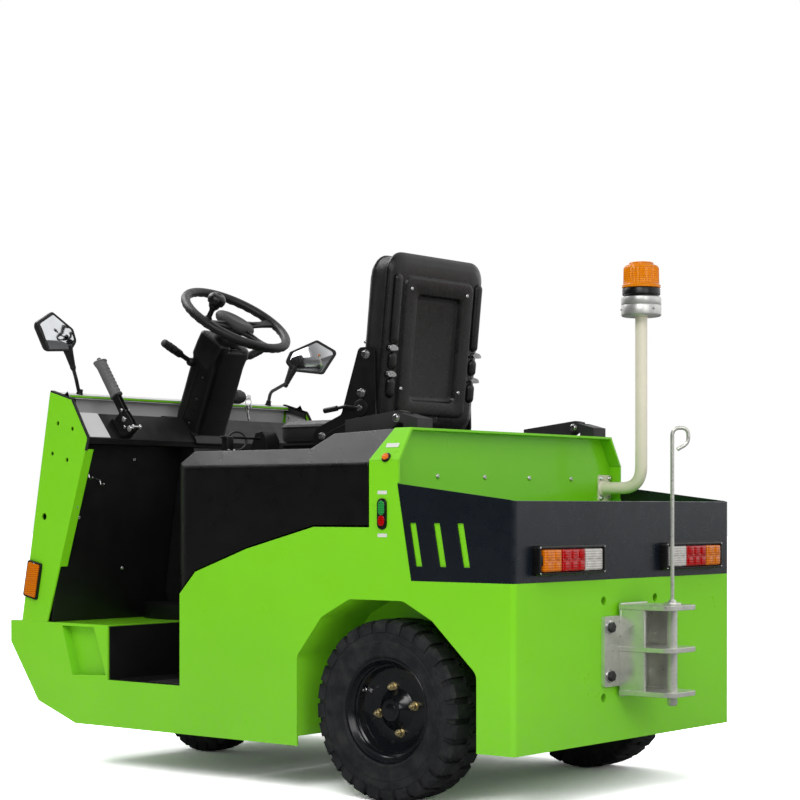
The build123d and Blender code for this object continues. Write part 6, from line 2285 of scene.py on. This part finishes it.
@dataclass
class Battery:
    """Tops of the battery's cells under the hood; sizes in millimetres."""

    top: float = 655.0
    middle: float = 800.0
    cell: Pair = (84.0, 146.0)
    columns: int = 6
    rows: int = 4

    def build(self) -> None:
        """Build the cells and the lifting eyes of the tray."""
        shape = Shape()
        plan = upward(0, 0, self.top)
        long, wide = self.cell
        for column in range(self.columns):
            for row in range(self.rows):
                station = self.middle + (column - (self.columns - 1) / 2) * long
                out = (row - (self.rows - 1) / 2) * wide
                self.add_cell(shape, shifted(plan, station, out), row + 1 < self.rows)
        for end in (-1, 1):
            for side in Side:
                eye = shifted(plan, self.middle + end * 256, side.value * 240, 8)
                path = through(eye, [(0, x, y + 14) for x, y in ring(20, 16)])
                shape.ring_tube(path, 5, 10, 3)
        names = ("moulding", "zinc_plate", "amber_lamp", "chassis_paint")
        add_piece("battery_cell_tops", shape, names, None, 34)

    def add_cell(self, shape: Shape, where: Matrix, linked: bool) -> None:
        """Add one cell's lid, posts and vent plug.

        Args:
            shape: The shape to add to.
            where: Frame on its middle.
            linked: Whether a link joins it to the next cell to the left.
        """
        long, wide = self.cell
        lid = ((5, -1), (5, 6), (9, 9))
        shape.stack([(long - less, wide - less, 6, level) for less, level in lid], where)
        post = ((0, 0), (13, 0), (13, 5), (9, 7), (9, 16), (7.5, 18), (0, 18))
        for step in (-1, 1):
            shape.turned(post, shifted(where, 0, step * wide * 0.3, 8), 20, 1)
        plug = ((0, 0), (17, 0), (17, 5), (14, 7), (11, 7), (10, 13), (0, 14))
        shape.turned(plug, shifted(where, 0, 0, 8), 24, 2)
        if linked:
            shape.block((22, wide * 0.4 + 18, 5), where, 1.5, layer=1, shift=(0, wide / 2, 20))


def main() -> None:
    """Build the surroundings and every piece."""
    logging.basicConfig(level=logging.INFO, format="%(name)s: %(message)s")
    for finish in FINISHES:
        finish.make()
    names = ("front", "front_wheel", "front_tyre", "front_rim")
    front = Wheel(*names, Side.LEFT, 1490, 0, 180, 98, 100, 24, 42, 7)
    wheels = []
    for side in Side:
        word = side.name.lower()
        names = (f"rear_{word}", f"rear_wheel_{word}", f"rear_tyre_{word}", f"rear_rim_{word}")
        wheels.append(Wheel(*names, side, 404, side.value * 428, 228, 128, 132, 28))
    controls = (Seat(), HandWheel(), Column(), Handbrake(), Pedals())
    ends = (Cowl(), Mirrors(), RearLamps(), Beacon(), Coupling(), Fittings(), Battery())
    for group in (Studio(), Bodywork(), *wheels, front, *controls, *ends):
        group.build()
    log.info("all pieces made")


if __name__ == "__main__":
    main()
